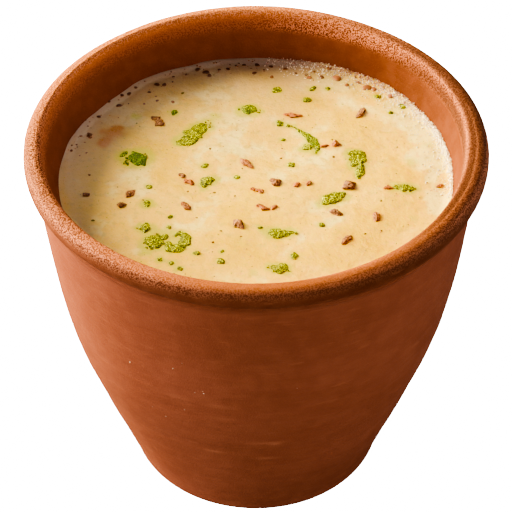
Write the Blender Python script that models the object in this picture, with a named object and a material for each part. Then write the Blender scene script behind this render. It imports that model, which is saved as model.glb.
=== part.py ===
"""Clay cup filled with a thick, pale grain drink, topped with chopped herb and roasted spice.

Two solids in one frame, in metres, +Z up, with the origin at the middle of the cup's foot:
the thrown clay cup, and the drink that stands in it up to 10 mm below the rim.
The herb, the spice and the larger bubbles are fused to the top of the drink.
"""

import math
import random

import bmesh
import bpy
import numpy as np

# Turned shapes: segments round the axis, and steps along each rounding of a section
SEGMENTS = 72
FOOT_STEPS = 4
OUTER_BEAD_STEPS = 8
INNER_BEAD_STEPS = 4
FLOOR_STEPS = 3
SMOOTH_ANGLE = 40

# Outside of the cup: the body is a smooth curve through (height, radius)
BODY = (
    (0.0000, 0.0248),
    (0.0085, 0.0275),
    (0.0213, 0.0322),
    (0.0355, 0.0371),
    (0.0497, 0.0402),
    (0.0611, 0.0417),
    (0.0710, 0.0429),
)
BODY_RINGS = 9
FOOT_EDGE_WIDTH = 0.0041
FOOT_EDGE_HEIGHT = 0.0034

# Rolled rim: a bead on a low ridge
CUP_HEIGHT = 0.0791
RIM_RADIUS = 0.0450
BEAD_HALF_HEIGHT = 0.00275
BEAD_OUTER_HALF_WIDTH = 0.0023
BEAD_INNER_HALF_WIDTH = 0.0016
BEAD_RADIUS = RIM_RADIUS - BEAD_OUTER_HALF_WIDTH
BEAD_HEIGHT = CUP_HEIGHT - BEAD_HALF_HEIGHT
BEAD_STARTS_AT = -58
NECK_RIDGE = ((0.04310, 0.07210), (0.04345, 0.07300), (0.04330, 0.07385))

# Inside of the cup, again (height, radius)
FLOOR_HEIGHT = 0.0070
HOLLOW = (
    (0.0070, 0.0200),
    (0.0130, 0.0241),
    (0.0250, 0.0293),
    (0.0400, 0.0343),
    (0.0550, 0.0374),
    (0.0690, 0.0392),
    (0.0763, 0.0411),
)
HOLLOW_RINGS = 8
FLOOR_FILLET = 0.0030

# Drink
DRINK_LEVEL = 0.0691
WALL_GAP = 0.0003
MENISCUS_RISE = 0.0005
MENISCUS_WIDTH = 0.0020
LONG_RIPPLE = 0.00013
LONG_RIPPLE_PITCH = (0.0036, 0.0045)
SHORT_RIPPLE = 0.00006
SHORT_RIPPLE_PITCH = (0.0021, 0.0015)
TOP_RINGS = (0.006, 0.012, 0.018, 0.024, 0.030, 0.034, 0.0369, 0.0381)
DRINK_WALL_RINGS = 5

# Chopped herb, each piece as (x, y, length, width, turn in degrees)
HERB_LEAVES = (
    (-0.0237, 0.0056, 0.0046, 0.0032, 90),
    (-0.0126, 0.0135, 0.0097, 0.0023, 50),
    (-0.0092, -0.0014, 0.0038, 0.0026, 50),
    (-0.0210, -0.0154, 0.0026, 0.0018, 10),
    (-0.0194, -0.0190, 0.0036, 0.0028, 55),
    (-0.0151, -0.0192, 0.0050, 0.0036, 37),
    (0.0045, -0.0164, 0.0062, 0.0032, -3),
    (0.0042, -0.0271, 0.0037, 0.0032, -15),
    (0.0200, 0.0039, 0.0082, 0.0030, 84),
    (0.0148, -0.0067, 0.0062, 0.0029, 43),
    (0.0289, -0.0032, 0.0046, 0.0014, 4),
    (-0.0013, 0.0213, 0.0040, 0.0028, 14),
)
HERB_BITS = (
    (-0.0262, 0.0072, 0.0026, 0.0010, 46),
    (-0.0101, 0.0035, 0.0022, 0.0012, 40),
    (-0.0165, 0.0205, 0.0020, 0.0009, 77),
    (0.0042, 0.0279, 0.0028, 0.0012, 51),
    (0.0103, 0.0249, 0.0021, 0.0011, -52),
    (0.0116, 0.0286, 0.0022, 0.0010, 49),
    (0.0048, 0.0169, 0.0024, 0.0011, -55),
    (0.0070, 0.0038, 0.0020, 0.0011, -58),
    (0.0097, 0.0094, 0.0021, 0.0010, 38),
    (-0.0038, 0.0000, 0.0013, 0.0009, 47),
    (-0.0209, -0.0032, 0.0015, 0.0010, -37),
    (-0.0113, -0.0227, 0.0015, 0.0009, 0),
    (-0.0067, -0.0250, 0.0017, 0.0012, 43),
    (0.0072, -0.0234, 0.0025, 0.0010, 87),
    (0.0126, -0.0145, 0.0014, 0.0009, 56),
)
HERB_STALK = ((0.0073, 0.0159), (0.0095, 0.0141), (0.0112, 0.0115), (0.0120, 0.0092), (0.0121, 0.0074))
STALK_WIDTH = 0.0009

# Roasted spice and chilli, the same way round
SPICE_GRAINS = (
    (-0.0019, 0.0041, 0.0041, 0.0016, -50),
    (-0.0137, -0.0007, 0.0037, 0.0015, -49),
    (0.0038, -0.0017, 0.0028, 0.0020, -51),
    (0.0079, -0.0026, 0.0017, 0.0012, 34),
    (-0.0245, -0.0053, 0.0033, 0.0016, 56),
    (-0.0260, -0.0085, 0.0016, 0.0014, 0),
    (-0.0135, -0.0088, 0.0029, 0.0015, -56),
    (-0.0034, -0.0146, 0.0033, 0.0017, -54),
    (0.0012, -0.0094, 0.0030, 0.0012, -24),
    (0.0181, -0.0026, 0.0026, 0.0022, 21),
    (0.0154, -0.0109, 0.0028, 0.0015, -28),
    (0.0231, -0.0121, 0.0030, 0.0015, 88),
    (0.0172, -0.0190, 0.0032, 0.0015, 56),
    (0.0358, -0.0026, 0.0017, 0.0009, 33),
    (-0.0330, -0.0053, 0.0018, 0.0013, -30),
    (-0.0199, 0.0178, 0.0041, 0.0018, -52),
    (0.0212, 0.0206, 0.0040, 0.0015, 64),
    (0.0074, 0.0196, 0.0038, 0.0012, -5),
    (0.0159, 0.0101, 0.0021, 0.0014, 0),
    (0.0256, -0.0034, 0.0016, 0.0011, 0),
    (-0.0317, 0.0191, 0.0017, 0.0011, 49),
    (-0.0278, 0.0229, 0.0018, 0.0011, 66),
)
SUNK_CHILLI = (-0.0284, 0.0130, 0.0064, 0.0040, 54)

# Ground pepper, scattered by a rule
SEED = 7
SPECK_COUNT = 26
SPECK_LENGTHS = (0.0008, 0.0012)
SPECK_WIDTH_SHARE = 0.8
SPECK_SPREAD = 0.0350
SPECK_CLEARANCE = 0.0030

# Larger bubbles along the back wall, each as (x, y, width)
BUBBLES = (
    (0.0165, 0.0322, 0.0016),
    (0.0231, 0.0288, 0.0016),
    (0.0276, 0.0259, 0.0013),
    (0.0134, 0.0325, 0.0011),
    (0.0031, 0.0362, 0.0011),
    (-0.0103, 0.0342, 0.0014),
    (0.0001, 0.0366, 0.0012),
)

# How far the toppings stand above the drink and reach into it
LEAF_LIFT = 0.00045
LEAF_THICKNESS = 0.0012
GRAIN_LIFT = 0.00040
SUNK_LIFT = 0.00015

# Rings of a leaf, edge then middle, and of a grain, crown to underside: (share of outline, share of lift)
LEAF_RINGS = ((1.0, 0.35), (0.55, 0.85))
GRAIN_RINGS = ((0.72, 1.0), (1.0, 0.0), (0.8, -1.6))
# Corners of a stalk's section: (share of width, share of lift)
STALK_CORNERS = ((-0.5, -2.0), (0.5, -2.0), (0.5, 0.6), (0.0, 1.0), (-0.5, 0.6))
LEAF_SIDES = 12
GRAIN_SIDES = 6
SPECK_SIDES = 5
LEAF_RAGGEDNESS = (0.78, 1.16)
LEAF_WAVINESS = 0.35
GRAIN_RAGGEDNESS = (0.88, 1.12)

CLAY_COLOUR = (0.42, 0.13, 0.045, 1.0)
CLAY_ROUGHNESS = 0.85
DRINK_COLOUR = (0.86, 0.66, 0.35, 1.0)
DRINK_ROUGHNESS = 0.35


def remove_all_objects():
    for item in list(bpy.data.objects):
        bpy.data.objects.remove(item, do_unlink=True)


def principled(name, colour, roughness):
    material = bpy.data.materials.new(name)
    material.use_nodes = True
    shader = material.node_tree.nodes["Principled BSDF"]
    shader.inputs["Base Color"].default_value = colour
    shader.inputs["Roughness"].default_value = roughness
    shader.inputs["Metallic"].default_value = 0.0
    return material


def smooth_radius(stations, height):
    """Radius at a height, on a cubic curve through the stations."""
    heights, radii = np.array(stations).T
    slopes = np.gradient(radii, heights)
    low = int(np.clip(np.searchsorted(heights, height) - 1, 0, len(heights) - 2))
    span = heights[low + 1] - heights[low]
    t = (height - heights[low]) / span
    from_low = (2 * t**3 - 3 * t**2 + 1) * radii[low] + (t**3 - 2 * t**2 + t) * span * slopes[low]
    from_high = (3 * t**2 - 2 * t**3) * radii[low + 1] + (t**3 - t**2) * span * slopes[low + 1]
    return float(from_low + from_high)


def ellipse_arc(radius, height, half_width, half_height, start, end, steps):
    """Points (radius, height) on an ellipse from one angle to another, in degrees."""
    angles = np.radians(np.linspace(start, end, steps + 1))
    return [(radius + half_width * math.cos(a), height + half_height * math.sin(a)) for a in angles]


def cup_profile():
    """Section of the cup: from the middle of the foot, up the outside, over the rim and down inside."""
    foot_radius = smooth_radius(BODY, FOOT_EDGE_HEIGHT)
    foot_middle = foot_radius - FOOT_EDGE_WIDTH
    foot = ellipse_arc(foot_middle, FOOT_EDGE_HEIGHT, FOOT_EDGE_WIDTH, FOOT_EDGE_HEIGHT, -90, 0, FOOT_STEPS)
    body_heights = np.linspace(FOOT_EDGE_HEIGHT, BODY[-1][0], BODY_RINGS + 1)[1:]
    body = [(smooth_radius(BODY, z), z) for z in body_heights]
    bead = (BEAD_RADIUS, BEAD_HEIGHT)
    outer_size = (BEAD_OUTER_HALF_WIDTH, BEAD_HALF_HEIGHT)
    inner_size = (BEAD_INNER_HALF_WIDTH, BEAD_HALF_HEIGHT)
    outer_bead = ellipse_arc(*bead, *outer_size, BEAD_STARTS_AT, 90, OUTER_BEAD_STEPS)
    inner_bead = ellipse_arc(*bead, *inner_size, 90, 180, INNER_BEAD_STEPS)
    hollow_heights = np.linspace(HOLLOW[-1][0], FLOOR_HEIGHT + FLOOR_FILLET, HOLLOW_RINGS + 1)[1:]
    hollow = [(smooth_radius(HOLLOW, z), z) for z in hollow_heights]
    floor_middle = (hollow[-1][0] - FLOOR_FILLET, FLOOR_HEIGHT + FLOOR_FILLET)
    floor = ellipse_arc(*floor_middle, FLOOR_FILLET, FLOOR_FILLET, 0, -90, FLOOR_STEPS)
    outside = [(0.0, 0.0)] + foot + body + list(NECK_RIDGE) + outer_bead
    inside = inner_bead[1:] + hollow + floor[1:] + [(0.0, FLOOR_HEIGHT)]
    return outside + inside


def meniscus(radius):
    """Rise of the drink where it climbs the wall."""
    edge = smooth_radius(HOLLOW, DRINK_LEVEL) - WALL_GAP
    share = max(0.0, (radius - (edge - MENISCUS_WIDTH)) / MENISCUS_WIDTH)
    return MENISCUS_RISE * min(share, 1.0) ** 2


def ripple(x, y):
    """Soft unevenness of a thick drink: two crossing waves."""
    long_wave = math.sin(x / LONG_RIPPLE_PITCH[0] + 0.5) * math.cos(y / LONG_RIPPLE_PITCH[1] + 1.1)
    short_wave = math.sin(x / SHORT_RIPPLE_PITCH[0] + y / SHORT_RIPPLE_PITCH[1])
    return LONG_RIPPLE * long_wave + SHORT_RIPPLE * short_wave


def surface_height(x, y):
    """Height of the drink's top at a place."""
    return DRINK_LEVEL + ripple(x, y) + meniscus(math.hypot(x, y))


def drink_profile():
    """Section of the drink: from the middle of its top, out to the wall and down to the floor."""
    edge = smooth_radius(HOLLOW, DRINK_LEVEL) - WALL_GAP
    top = [(0.0, DRINK_LEVEL)] + [(r, DRINK_LEVEL + meniscus(r)) for r in TOP_RINGS]
    rim = [(edge, DRINK_LEVEL + MENISCUS_RISE)]
    lowest = FLOOR_HEIGHT + FLOOR_FILLET
    wall_heights = np.linspace(DRINK_LEVEL, lowest, DRINK_WALL_RINGS + 1)[1:]
    wall = [(smooth_radius(HOLLOW, z) - WALL_GAP, z) for z in wall_heights]
    bend = FLOOR_FILLET - WALL_GAP
    floor = ellipse_arc(wall[-1][0] - bend, lowest, bend, bend, 0, -90, FLOOR_STEPS)
    return top + rim + wall + floor[1:] + [(0.0, lowest - bend)]


def mesh_object(name, bm, collection):
    """Finish a mesh with its faces pointing out and put it in a collection."""
    bmesh.ops.remove_doubles(bm, verts=bm.verts, dist=1e-6)
    bmesh.ops.recalc_face_normals(bm, faces=bm.faces)
    mesh = bpy.data.meshes.new(name)
    bm.to_mesh(mesh)
    bm.free()
    item = bpy.data.objects.new(name, mesh)
    collection.objects.link(item)
    return item


def turned(name, profile, rippled_above=None):
    """Turn a section round the Z axis; points above the given height get the ripple."""
    bm = bmesh.new()
    points = [bm.verts.new((radius, 0.0, height)) for radius, height in profile]
    edges = [bm.edges.new(pair) for pair in zip(points, points[1:])]
    bmesh.ops.spin(
        bm,
        geom=points + edges,
        axis=(0.0, 0.0, 1.0),
        cent=(0.0, 0.0, 0.0),
        steps=SEGMENTS,
        angle=math.tau,
        use_merge=True,
    )
    if rippled_above is not None:
        for point in bm.verts:
            if point.co.z > rippled_above:
                point.co.z += ripple(point.co.x, point.co.y)
    return mesh_object(name, bm, bpy.context.scene.collection)


def placed(x, y, turn, along, across):
    """A point of a piece, given along and across it, as x and y in the frame."""
    angle = math.radians(turn)
    return (
        x + along * math.cos(angle) - across * math.sin(angle),
        y + along * math.sin(angle) + across * math.cos(angle),
    )


def leaf(name, place, draw, collection, lift=LEAF_LIFT, sides=LEAF_SIDES):
    """Thin wavy solid with a ragged outline: top and bottom are split into the same triangles."""
    x, y, length, width, turn = place
    ragged = [draw.uniform(*LEAF_RAGGEDNESS) for _ in range(sides)]
    waves = [draw.uniform(-LEAF_WAVINESS, LEAF_WAVINESS) * lift for _ in range(sides)]
    bm = bmesh.new()
    layers = []
    for drop in (0.0, LEAF_THICKNESS):
        rings = []
        for share, raised in LEAF_RINGS:
            ring = []
            for side in range(sides):
                angle = math.tau * side / sides
                along = 0.5 * length * share * ragged[side] * math.cos(angle)
                across = 0.5 * width * share * ragged[side] * math.sin(angle)
                px, py = placed(x, y, turn, along, across)
                height = surface_height(px, py) + lift * raised + waves[side] * share - drop
                ring.append(bm.verts.new((px, py, height)))
            rings.append(ring)
        middle = bm.verts.new((x, y, surface_height(x, y) + lift - drop))
        layers.append((rings, middle))
    top, bottom = layers[0][0], layers[1][0]
    for side in range(sides):
        after = (side + 1) % sides
        for rings, middle in layers:
            bm.faces.new((rings[0][side], rings[0][after], rings[1][side]))
            bm.faces.new((rings[0][after], rings[1][after], rings[1][side]))
            bm.faces.new((rings[1][side], rings[1][after], middle))
        bm.faces.new((top[0][side], bottom[0][side], bottom[0][after], top[0][after]))
    return mesh_object(name, bm, collection)


def grain(name, place, draw, collection, sides=GRAIN_SIDES):
    """Lump with a flattened crown, half sunk in the drink."""
    x, y, length, width, turn = place
    bm = bmesh.new()
    level = surface_height(x, y)
    rings = []
    for share, raised in GRAIN_RINGS:
        ring = []
        for side in range(sides):
            angle = math.tau * (side + 0.5) / sides
            uneven = share * draw.uniform(*GRAIN_RAGGEDNESS)
            along = 0.5 * length * uneven * math.cos(angle)
            across = 0.5 * width * uneven * math.sin(angle)
            px, py = placed(x, y, turn, along, across)
            ring.append(bm.verts.new((px, py, level + raised * GRAIN_LIFT)))
        rings.append(ring)
    for upper, lower in zip(rings, rings[1:]):
        for side in range(sides):
            after = (side + 1) % sides
            bm.faces.new((upper[side], lower[side], lower[after], upper[after]))
    bm.faces.new(rings[0])
    bm.faces.new(rings[-1])
    return mesh_object(name, bm, collection)


def stalk(name, path, width, collection):
    """Flat strip along a path, half sunk in the drink."""
    bm = bmesh.new()
    sections = []
    for index, (x, y) in enumerate(path):
        before = path[max(index - 1, 0)]
        after = path[min(index + 1, len(path) - 1)]
        heading = math.degrees(math.atan2(after[1] - before[1], after[0] - before[0]))
        level = surface_height(x, y)
        section = []
        for across, raised in STALK_CORNERS:
            px, py = placed(x, y, heading, 0.0, across * width)
            section.append(bm.verts.new((px, py, level + raised * LEAF_LIFT)))
        sections.append(section)
    for one, two in zip(sections, sections[1:]):
        for corner in range(len(one)):
            after = (corner + 1) % len(one)
            bm.faces.new((one[corner], one[after], two[after], two[corner]))
    bm.faces.new(sections[0])
    bm.faces.new(sections[-1])
    return mesh_object(name, bm, collection)


def speck_places(draw, taken):
    """Places for ground pepper, kept clear of the named pieces and of each other."""
    places = []
    while len(places) < SPECK_COUNT:
        radius = SPECK_SPREAD * math.sqrt(draw.random())
        angle = draw.uniform(0.0, math.tau)
        x, y = radius * math.cos(angle), radius * math.sin(angle)
        nearest = min(math.hypot(x - other[0], y - other[1]) - 0.5 * other[2] for other in taken + places)
        if nearest > SPECK_CLEARANCE:
            length = draw.uniform(*SPECK_LENGTHS)
            places.append((x, y, length, SPECK_WIDTH_SHARE * length, draw.uniform(0.0, 180.0)))
    return places


def toppings(collection):
    """Everything that lies on the drink, each piece a closed solid."""
    draw = random.Random(SEED)
    for index, place in enumerate(HERB_LEAVES):
        leaf(f"herb_leaf_{index}", place, draw, collection)
    for index, place in enumerate(HERB_BITS):
        grain(f"herb_bit_{index}", place, draw, collection)
    stalk("herb_stalk", HERB_STALK, STALK_WIDTH, collection)
    leaf("sunk_chilli", SUNK_CHILLI, draw, collection, lift=SUNK_LIFT)
    for index, place in enumerate(SPICE_GRAINS):
        grain(f"spice_{index}", place, draw, collection)
    for index, (x, y, width) in enumerate(BUBBLES):
        grain(f"bubble_{index}", (x, y, width, width, 0.0), draw, collection)
    taken = list(HERB_LEAVES) + list(HERB_BITS) + list(SPICE_GRAINS) + [SUNK_CHILLI]
    taken += [(x, y, STALK_WIDTH) for x, y in HERB_STALK]
    for index, place in enumerate(speck_places(draw, taken)):
        grain(f"speck_{index}", place, draw, collection, sides=SPECK_SIDES)


def fuse(item, collection):
    """Union the collection's solids with the item, then remove them."""
    union = item.modifiers.new("fused toppings", "BOOLEAN")
    union.operation = "UNION"
    union.operand_type = "COLLECTION"
    union.collection = collection
    union.solver = "EXACT"
    depsgraph = bpy.context.evaluated_depsgraph_get()
    fused = bpy.data.meshes.new_from_object(item.evaluated_get(depsgraph))
    item.modifiers.remove(union)
    item.data = fused
    for piece in list(collection.objects):
        bpy.data.objects.remove(piece, do_unlink=True)
    bpy.data.collections.remove(collection)


def finish(item, material):
    item.data.materials.clear()
    item.data.materials.append(material)
    item.data.shade_smooth()
    item.data.set_sharp_from_angle(angle=math.radians(SMOOTH_ANGLE))


def main():
    remove_all_objects()
    cup = turned("cup", cup_profile())
    drink = turned("drink", drink_profile(), rippled_above=DRINK_LEVEL - WALL_GAP)
    scattered = bpy.data.collections.new("toppings")
    bpy.context.scene.collection.children.link(scattered)
    toppings(scattered)
    fuse(drink, scattered)
    finish(cup, principled("clay", CLAY_COLOUR, CLAY_ROUGHNESS))
    finish(drink, principled("drink", DRINK_COLOUR, DRINK_ROUGHNESS))


main()
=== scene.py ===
import math

import bpy
import numpy as np
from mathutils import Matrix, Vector


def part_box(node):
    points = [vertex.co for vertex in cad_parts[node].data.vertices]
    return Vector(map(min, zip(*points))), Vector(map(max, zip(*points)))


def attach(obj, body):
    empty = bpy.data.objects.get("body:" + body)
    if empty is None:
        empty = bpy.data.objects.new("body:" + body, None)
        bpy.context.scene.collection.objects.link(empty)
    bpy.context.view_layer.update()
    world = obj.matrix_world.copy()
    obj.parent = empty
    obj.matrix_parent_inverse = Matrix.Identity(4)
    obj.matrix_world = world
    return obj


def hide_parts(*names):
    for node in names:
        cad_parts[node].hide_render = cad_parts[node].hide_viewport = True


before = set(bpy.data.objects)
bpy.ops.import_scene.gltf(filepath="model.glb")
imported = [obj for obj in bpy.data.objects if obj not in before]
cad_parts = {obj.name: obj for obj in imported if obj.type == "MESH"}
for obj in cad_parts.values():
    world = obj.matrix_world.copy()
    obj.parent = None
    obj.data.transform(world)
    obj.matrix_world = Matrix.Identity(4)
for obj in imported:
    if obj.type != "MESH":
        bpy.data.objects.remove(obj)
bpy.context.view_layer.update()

# Thrown clay cup, filled with a thick, pale grain drink under chopped herb and roasted spice.
# Lengths are metres; lists of places on the drink are millimetres.
mm = 0.001
fullTurn = 2.0 * math.pi
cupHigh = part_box("cup")[1]


# Number and noise helpers


def latticeValue(cell, seed):
    # a fixed pseudo-random value from -1 to 1 for each whole-number place: products, shifts and exclusive ors
    word = cell[..., 0] * 374761393 + cell[..., 1] * 668265263 + cell[..., 2] * 1440662683 + seed * 1013904223
    word = word & 0xFFFFFFFF
    word = ((word ^ (word >> 13)) * 1274126177) & 0xFFFFFFFF
    word = word ^ (word >> 16)
    return (word & 0xFFFF) / 32767.5 - 1.0


def softNoise(points, size, seed=0):
    # lattice values at the eight corners round each point, blended along each axis by 3t^2 - 2t^3
    scaled = np.asarray(points, float) / np.asarray(size, float)
    base = np.floor(scaled).astype(np.int64)
    t = scaled - base
    t = t * t * (3.0 - 2.0 * t)
    total = np.zeros(scaled.shape[:-1])
    for corner in np.ndindex(2, 2, 2):
        weight = np.where(np.array(corner) == 1, t, 1.0 - t).prod(axis=-1)
        total += weight * latticeValue(base + np.array(corner), seed)
    return total


def layeredNoise(points, size, seed=0, layers=3):
    # soft noise summed over layers, each half the size and half the height of the one before
    parts = [softNoise(points, np.asarray(size, float) / 2**k, seed + 17 * k) / 2**k for k in range(layers)]
    return sum(parts)


def grainRelief(points, size, seed=0):
    # from -0.5 in the gaps to 0.5 on the tops: 0.5 less the distance to the nearest of one scattered point in
    # each cell
    scaled = points / size
    base = np.floor(scaled).astype(np.int64)
    nearest = np.full(scaled.shape[:-1], 9.0)
    for offset in np.ndindex(3, 3, 3):
        cell = base + np.array(offset) - 1
        scattered = cell + np.stack([0.5 + 0.5 * latticeValue(cell, seed + k) for k in range(3)], -1)
        nearest = np.minimum(nearest, np.linalg.norm(scattered - scaled, axis=-1))
    return 0.5 - np.clip(nearest, 0.0, 1.0)


def smoothStep(low, high, value):
    # 3t^2 - 2t^3 with t running from 0 to 1 between low and high
    t = np.clip((value - low) / (high - low), 0.0, 1.0)
    return t * t * (3.0 - 2.0 * t)


def curveThrough(stations, at):
    # cubic through (place, value) stations, with the central differences of the stations as its slopes
    place, value = np.array(stations, float).T
    slope = np.gradient(value, place)
    at = np.asarray(at, float)
    low = np.clip(np.searchsorted(place, at) - 1, 0, len(place) - 2)
    span = place[low + 1] - place[low]
    t = (at - place[low]) / span
    fromLow = (2 * t**3 - 3 * t**2 + 1) * value[low] + (t**3 - 2 * t**2 + t) * span * slope[low]
    fromHigh = (3 * t**2 - 2 * t**3) * value[low + 1] + (t**3 - t**2) * span * slope[low + 1]
    return fromLow + fromHigh


def roundCurve(stations, degrees):
    # curve through (degrees, value) stations that closes on itself after 360 degrees
    angles, values = np.array(stations, float).T
    threefold = [(a + turn, v) for turn in (-360.0, 0.0, 360.0) for a, v in zip(angles, values)]
    return curveThrough(threefold, degrees)


# Mesh helpers


def putMesh(name, points, quads, triangles=None, **values):
    # points (n, 3) and faces (m, 4) and (k, 3) go in by foreach_set; values are one number for each point
    triangles = np.zeros((0, 3), int) if triangles is None else triangles
    corners = np.concatenate([quads.ravel(), triangles.ravel()]).astype(np.int32)
    starts = np.concatenate([np.arange(len(quads)) * 4, 4 * len(quads) + np.arange(len(triangles)) * 3])
    mesh = bpy.data.meshes.new(name)
    mesh.vertices.add(len(points))
    mesh.vertices.foreach_set("co", np.asarray(points, np.float32).ravel())
    mesh.loops.add(len(corners))
    mesh.loops.foreach_set("vertex_index", corners)
    mesh.polygons.add(len(starts))
    mesh.polygons.foreach_set("loop_start", starts.astype(np.int32))
    mesh.polygons.foreach_set("use_smooth", np.ones(len(starts), bool))
    mesh.update(calc_edges=True)
    for label, numbers in values.items():
        layer = mesh.attributes.new(label, "FLOAT", "POINT")
        layer.data.foreach_set("value", np.asarray(numbers, np.float32).ravel())
    item = bpy.data.objects.new(name, mesh)
    bpy.context.scene.collection.objects.link(item)
    return item


def ringFaces(rings, sides, closeRings=False):
    # quads between neighbouring rings of a grid whose sides run round; point (i, j) has number i * sides + j
    i = np.arange(rings if closeRings else rings - 1)[:, None]
    j = np.arange(sides)[None, :]
    after, beyond = (j + 1) % sides, (i + 1) % rings
    return np.stack([i * sides + j, i * sides + after, beyond * sides + after, beyond * sides + j],
                    -1).reshape(-1, 4)


def shellFaces(count, rings, sides):
    # faces of many closed shells: rings of sides points each, then one point at either end
    quads = ringFaces(rings, sides)
    j = np.arange(sides)
    after, first, last = (j + 1) % sides, rings * sides, rings * sides + 1
    top = (rings - 1) * sides
    startFan = np.stack([np.full(sides, first), after, j], -1)
    endFan = np.stack([np.full(sides, last), top + j, top + after], -1)
    fans = np.concatenate([startFan, endFan])
    shift = np.arange(count)[:, None, None] * (rings * sides + 2)
    return (quads[None] + shift).reshape(-1, 4), (fans[None] + shift).reshape(-1, 3)


def turnMatrices(turn, pitch, roll):
    # for each piece: roll about its length, then pitch about its width, then turn about the vertical
    ct, st, cp, sp, cr, sr = (f(a) for a in (turn, pitch, roll) for f in (np.cos, np.sin))
    zero, one = np.zeros_like(ct), np.ones_like(ct)
    yaw = np.stack([ct, -st, zero, st, ct, zero, zero, zero, one], -1).reshape(-1, 3, 3)
    nod = np.stack([cp, zero, sp, zero, one, zero, -sp, zero, cp], -1).reshape(-1, 3, 3)
    lean = np.stack([one, zero, zero, zero, cr, -sr, zero, sr, cr], -1).reshape(-1, 3, 3)
    return yaw @ nod @ lean


def shellPart(rings, ends, centres, matrices, **values):
    # rings (pieces, rings, sides, 3) and ends (pieces, 2, 3), in mm, are turned and moved to their centres
    count, ringCount, sides = rings.shape[:3]
    local = np.concatenate([rings.reshape(count, -1, 3), ends], axis=1)
    points = np.einsum("nij,npj->npi", matrices, local * mm) + centres[:, None, :]
    quads, fans = shellFaces(count, ringCount, sides)
    each = {k: np.broadcast_to(v, (count, local.shape[1])).ravel() for k, v in values.items()}
    return points.reshape(-1, 3), quads, fans, each


def putParts(name, parts):
    # several sets of points, faces and values joined as one mesh, with the face numbers moved along
    starts = np.cumsum([0] + [len(part[0]) for part in parts[:-1]])
    points = np.concatenate([part[0] for part in parts])
    quads = np.concatenate([part[1] + start for part, start in zip(parts, starts)])
    fans = np.concatenate([part[2] + start for part, start in zip(parts, starts)])
    values = {k: np.concatenate([part[3][k] for part in parts]) for k in parts[0][3]}
    return putMesh(name, points, quads, fans, **values)


# Cup: section and turned surface

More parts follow.
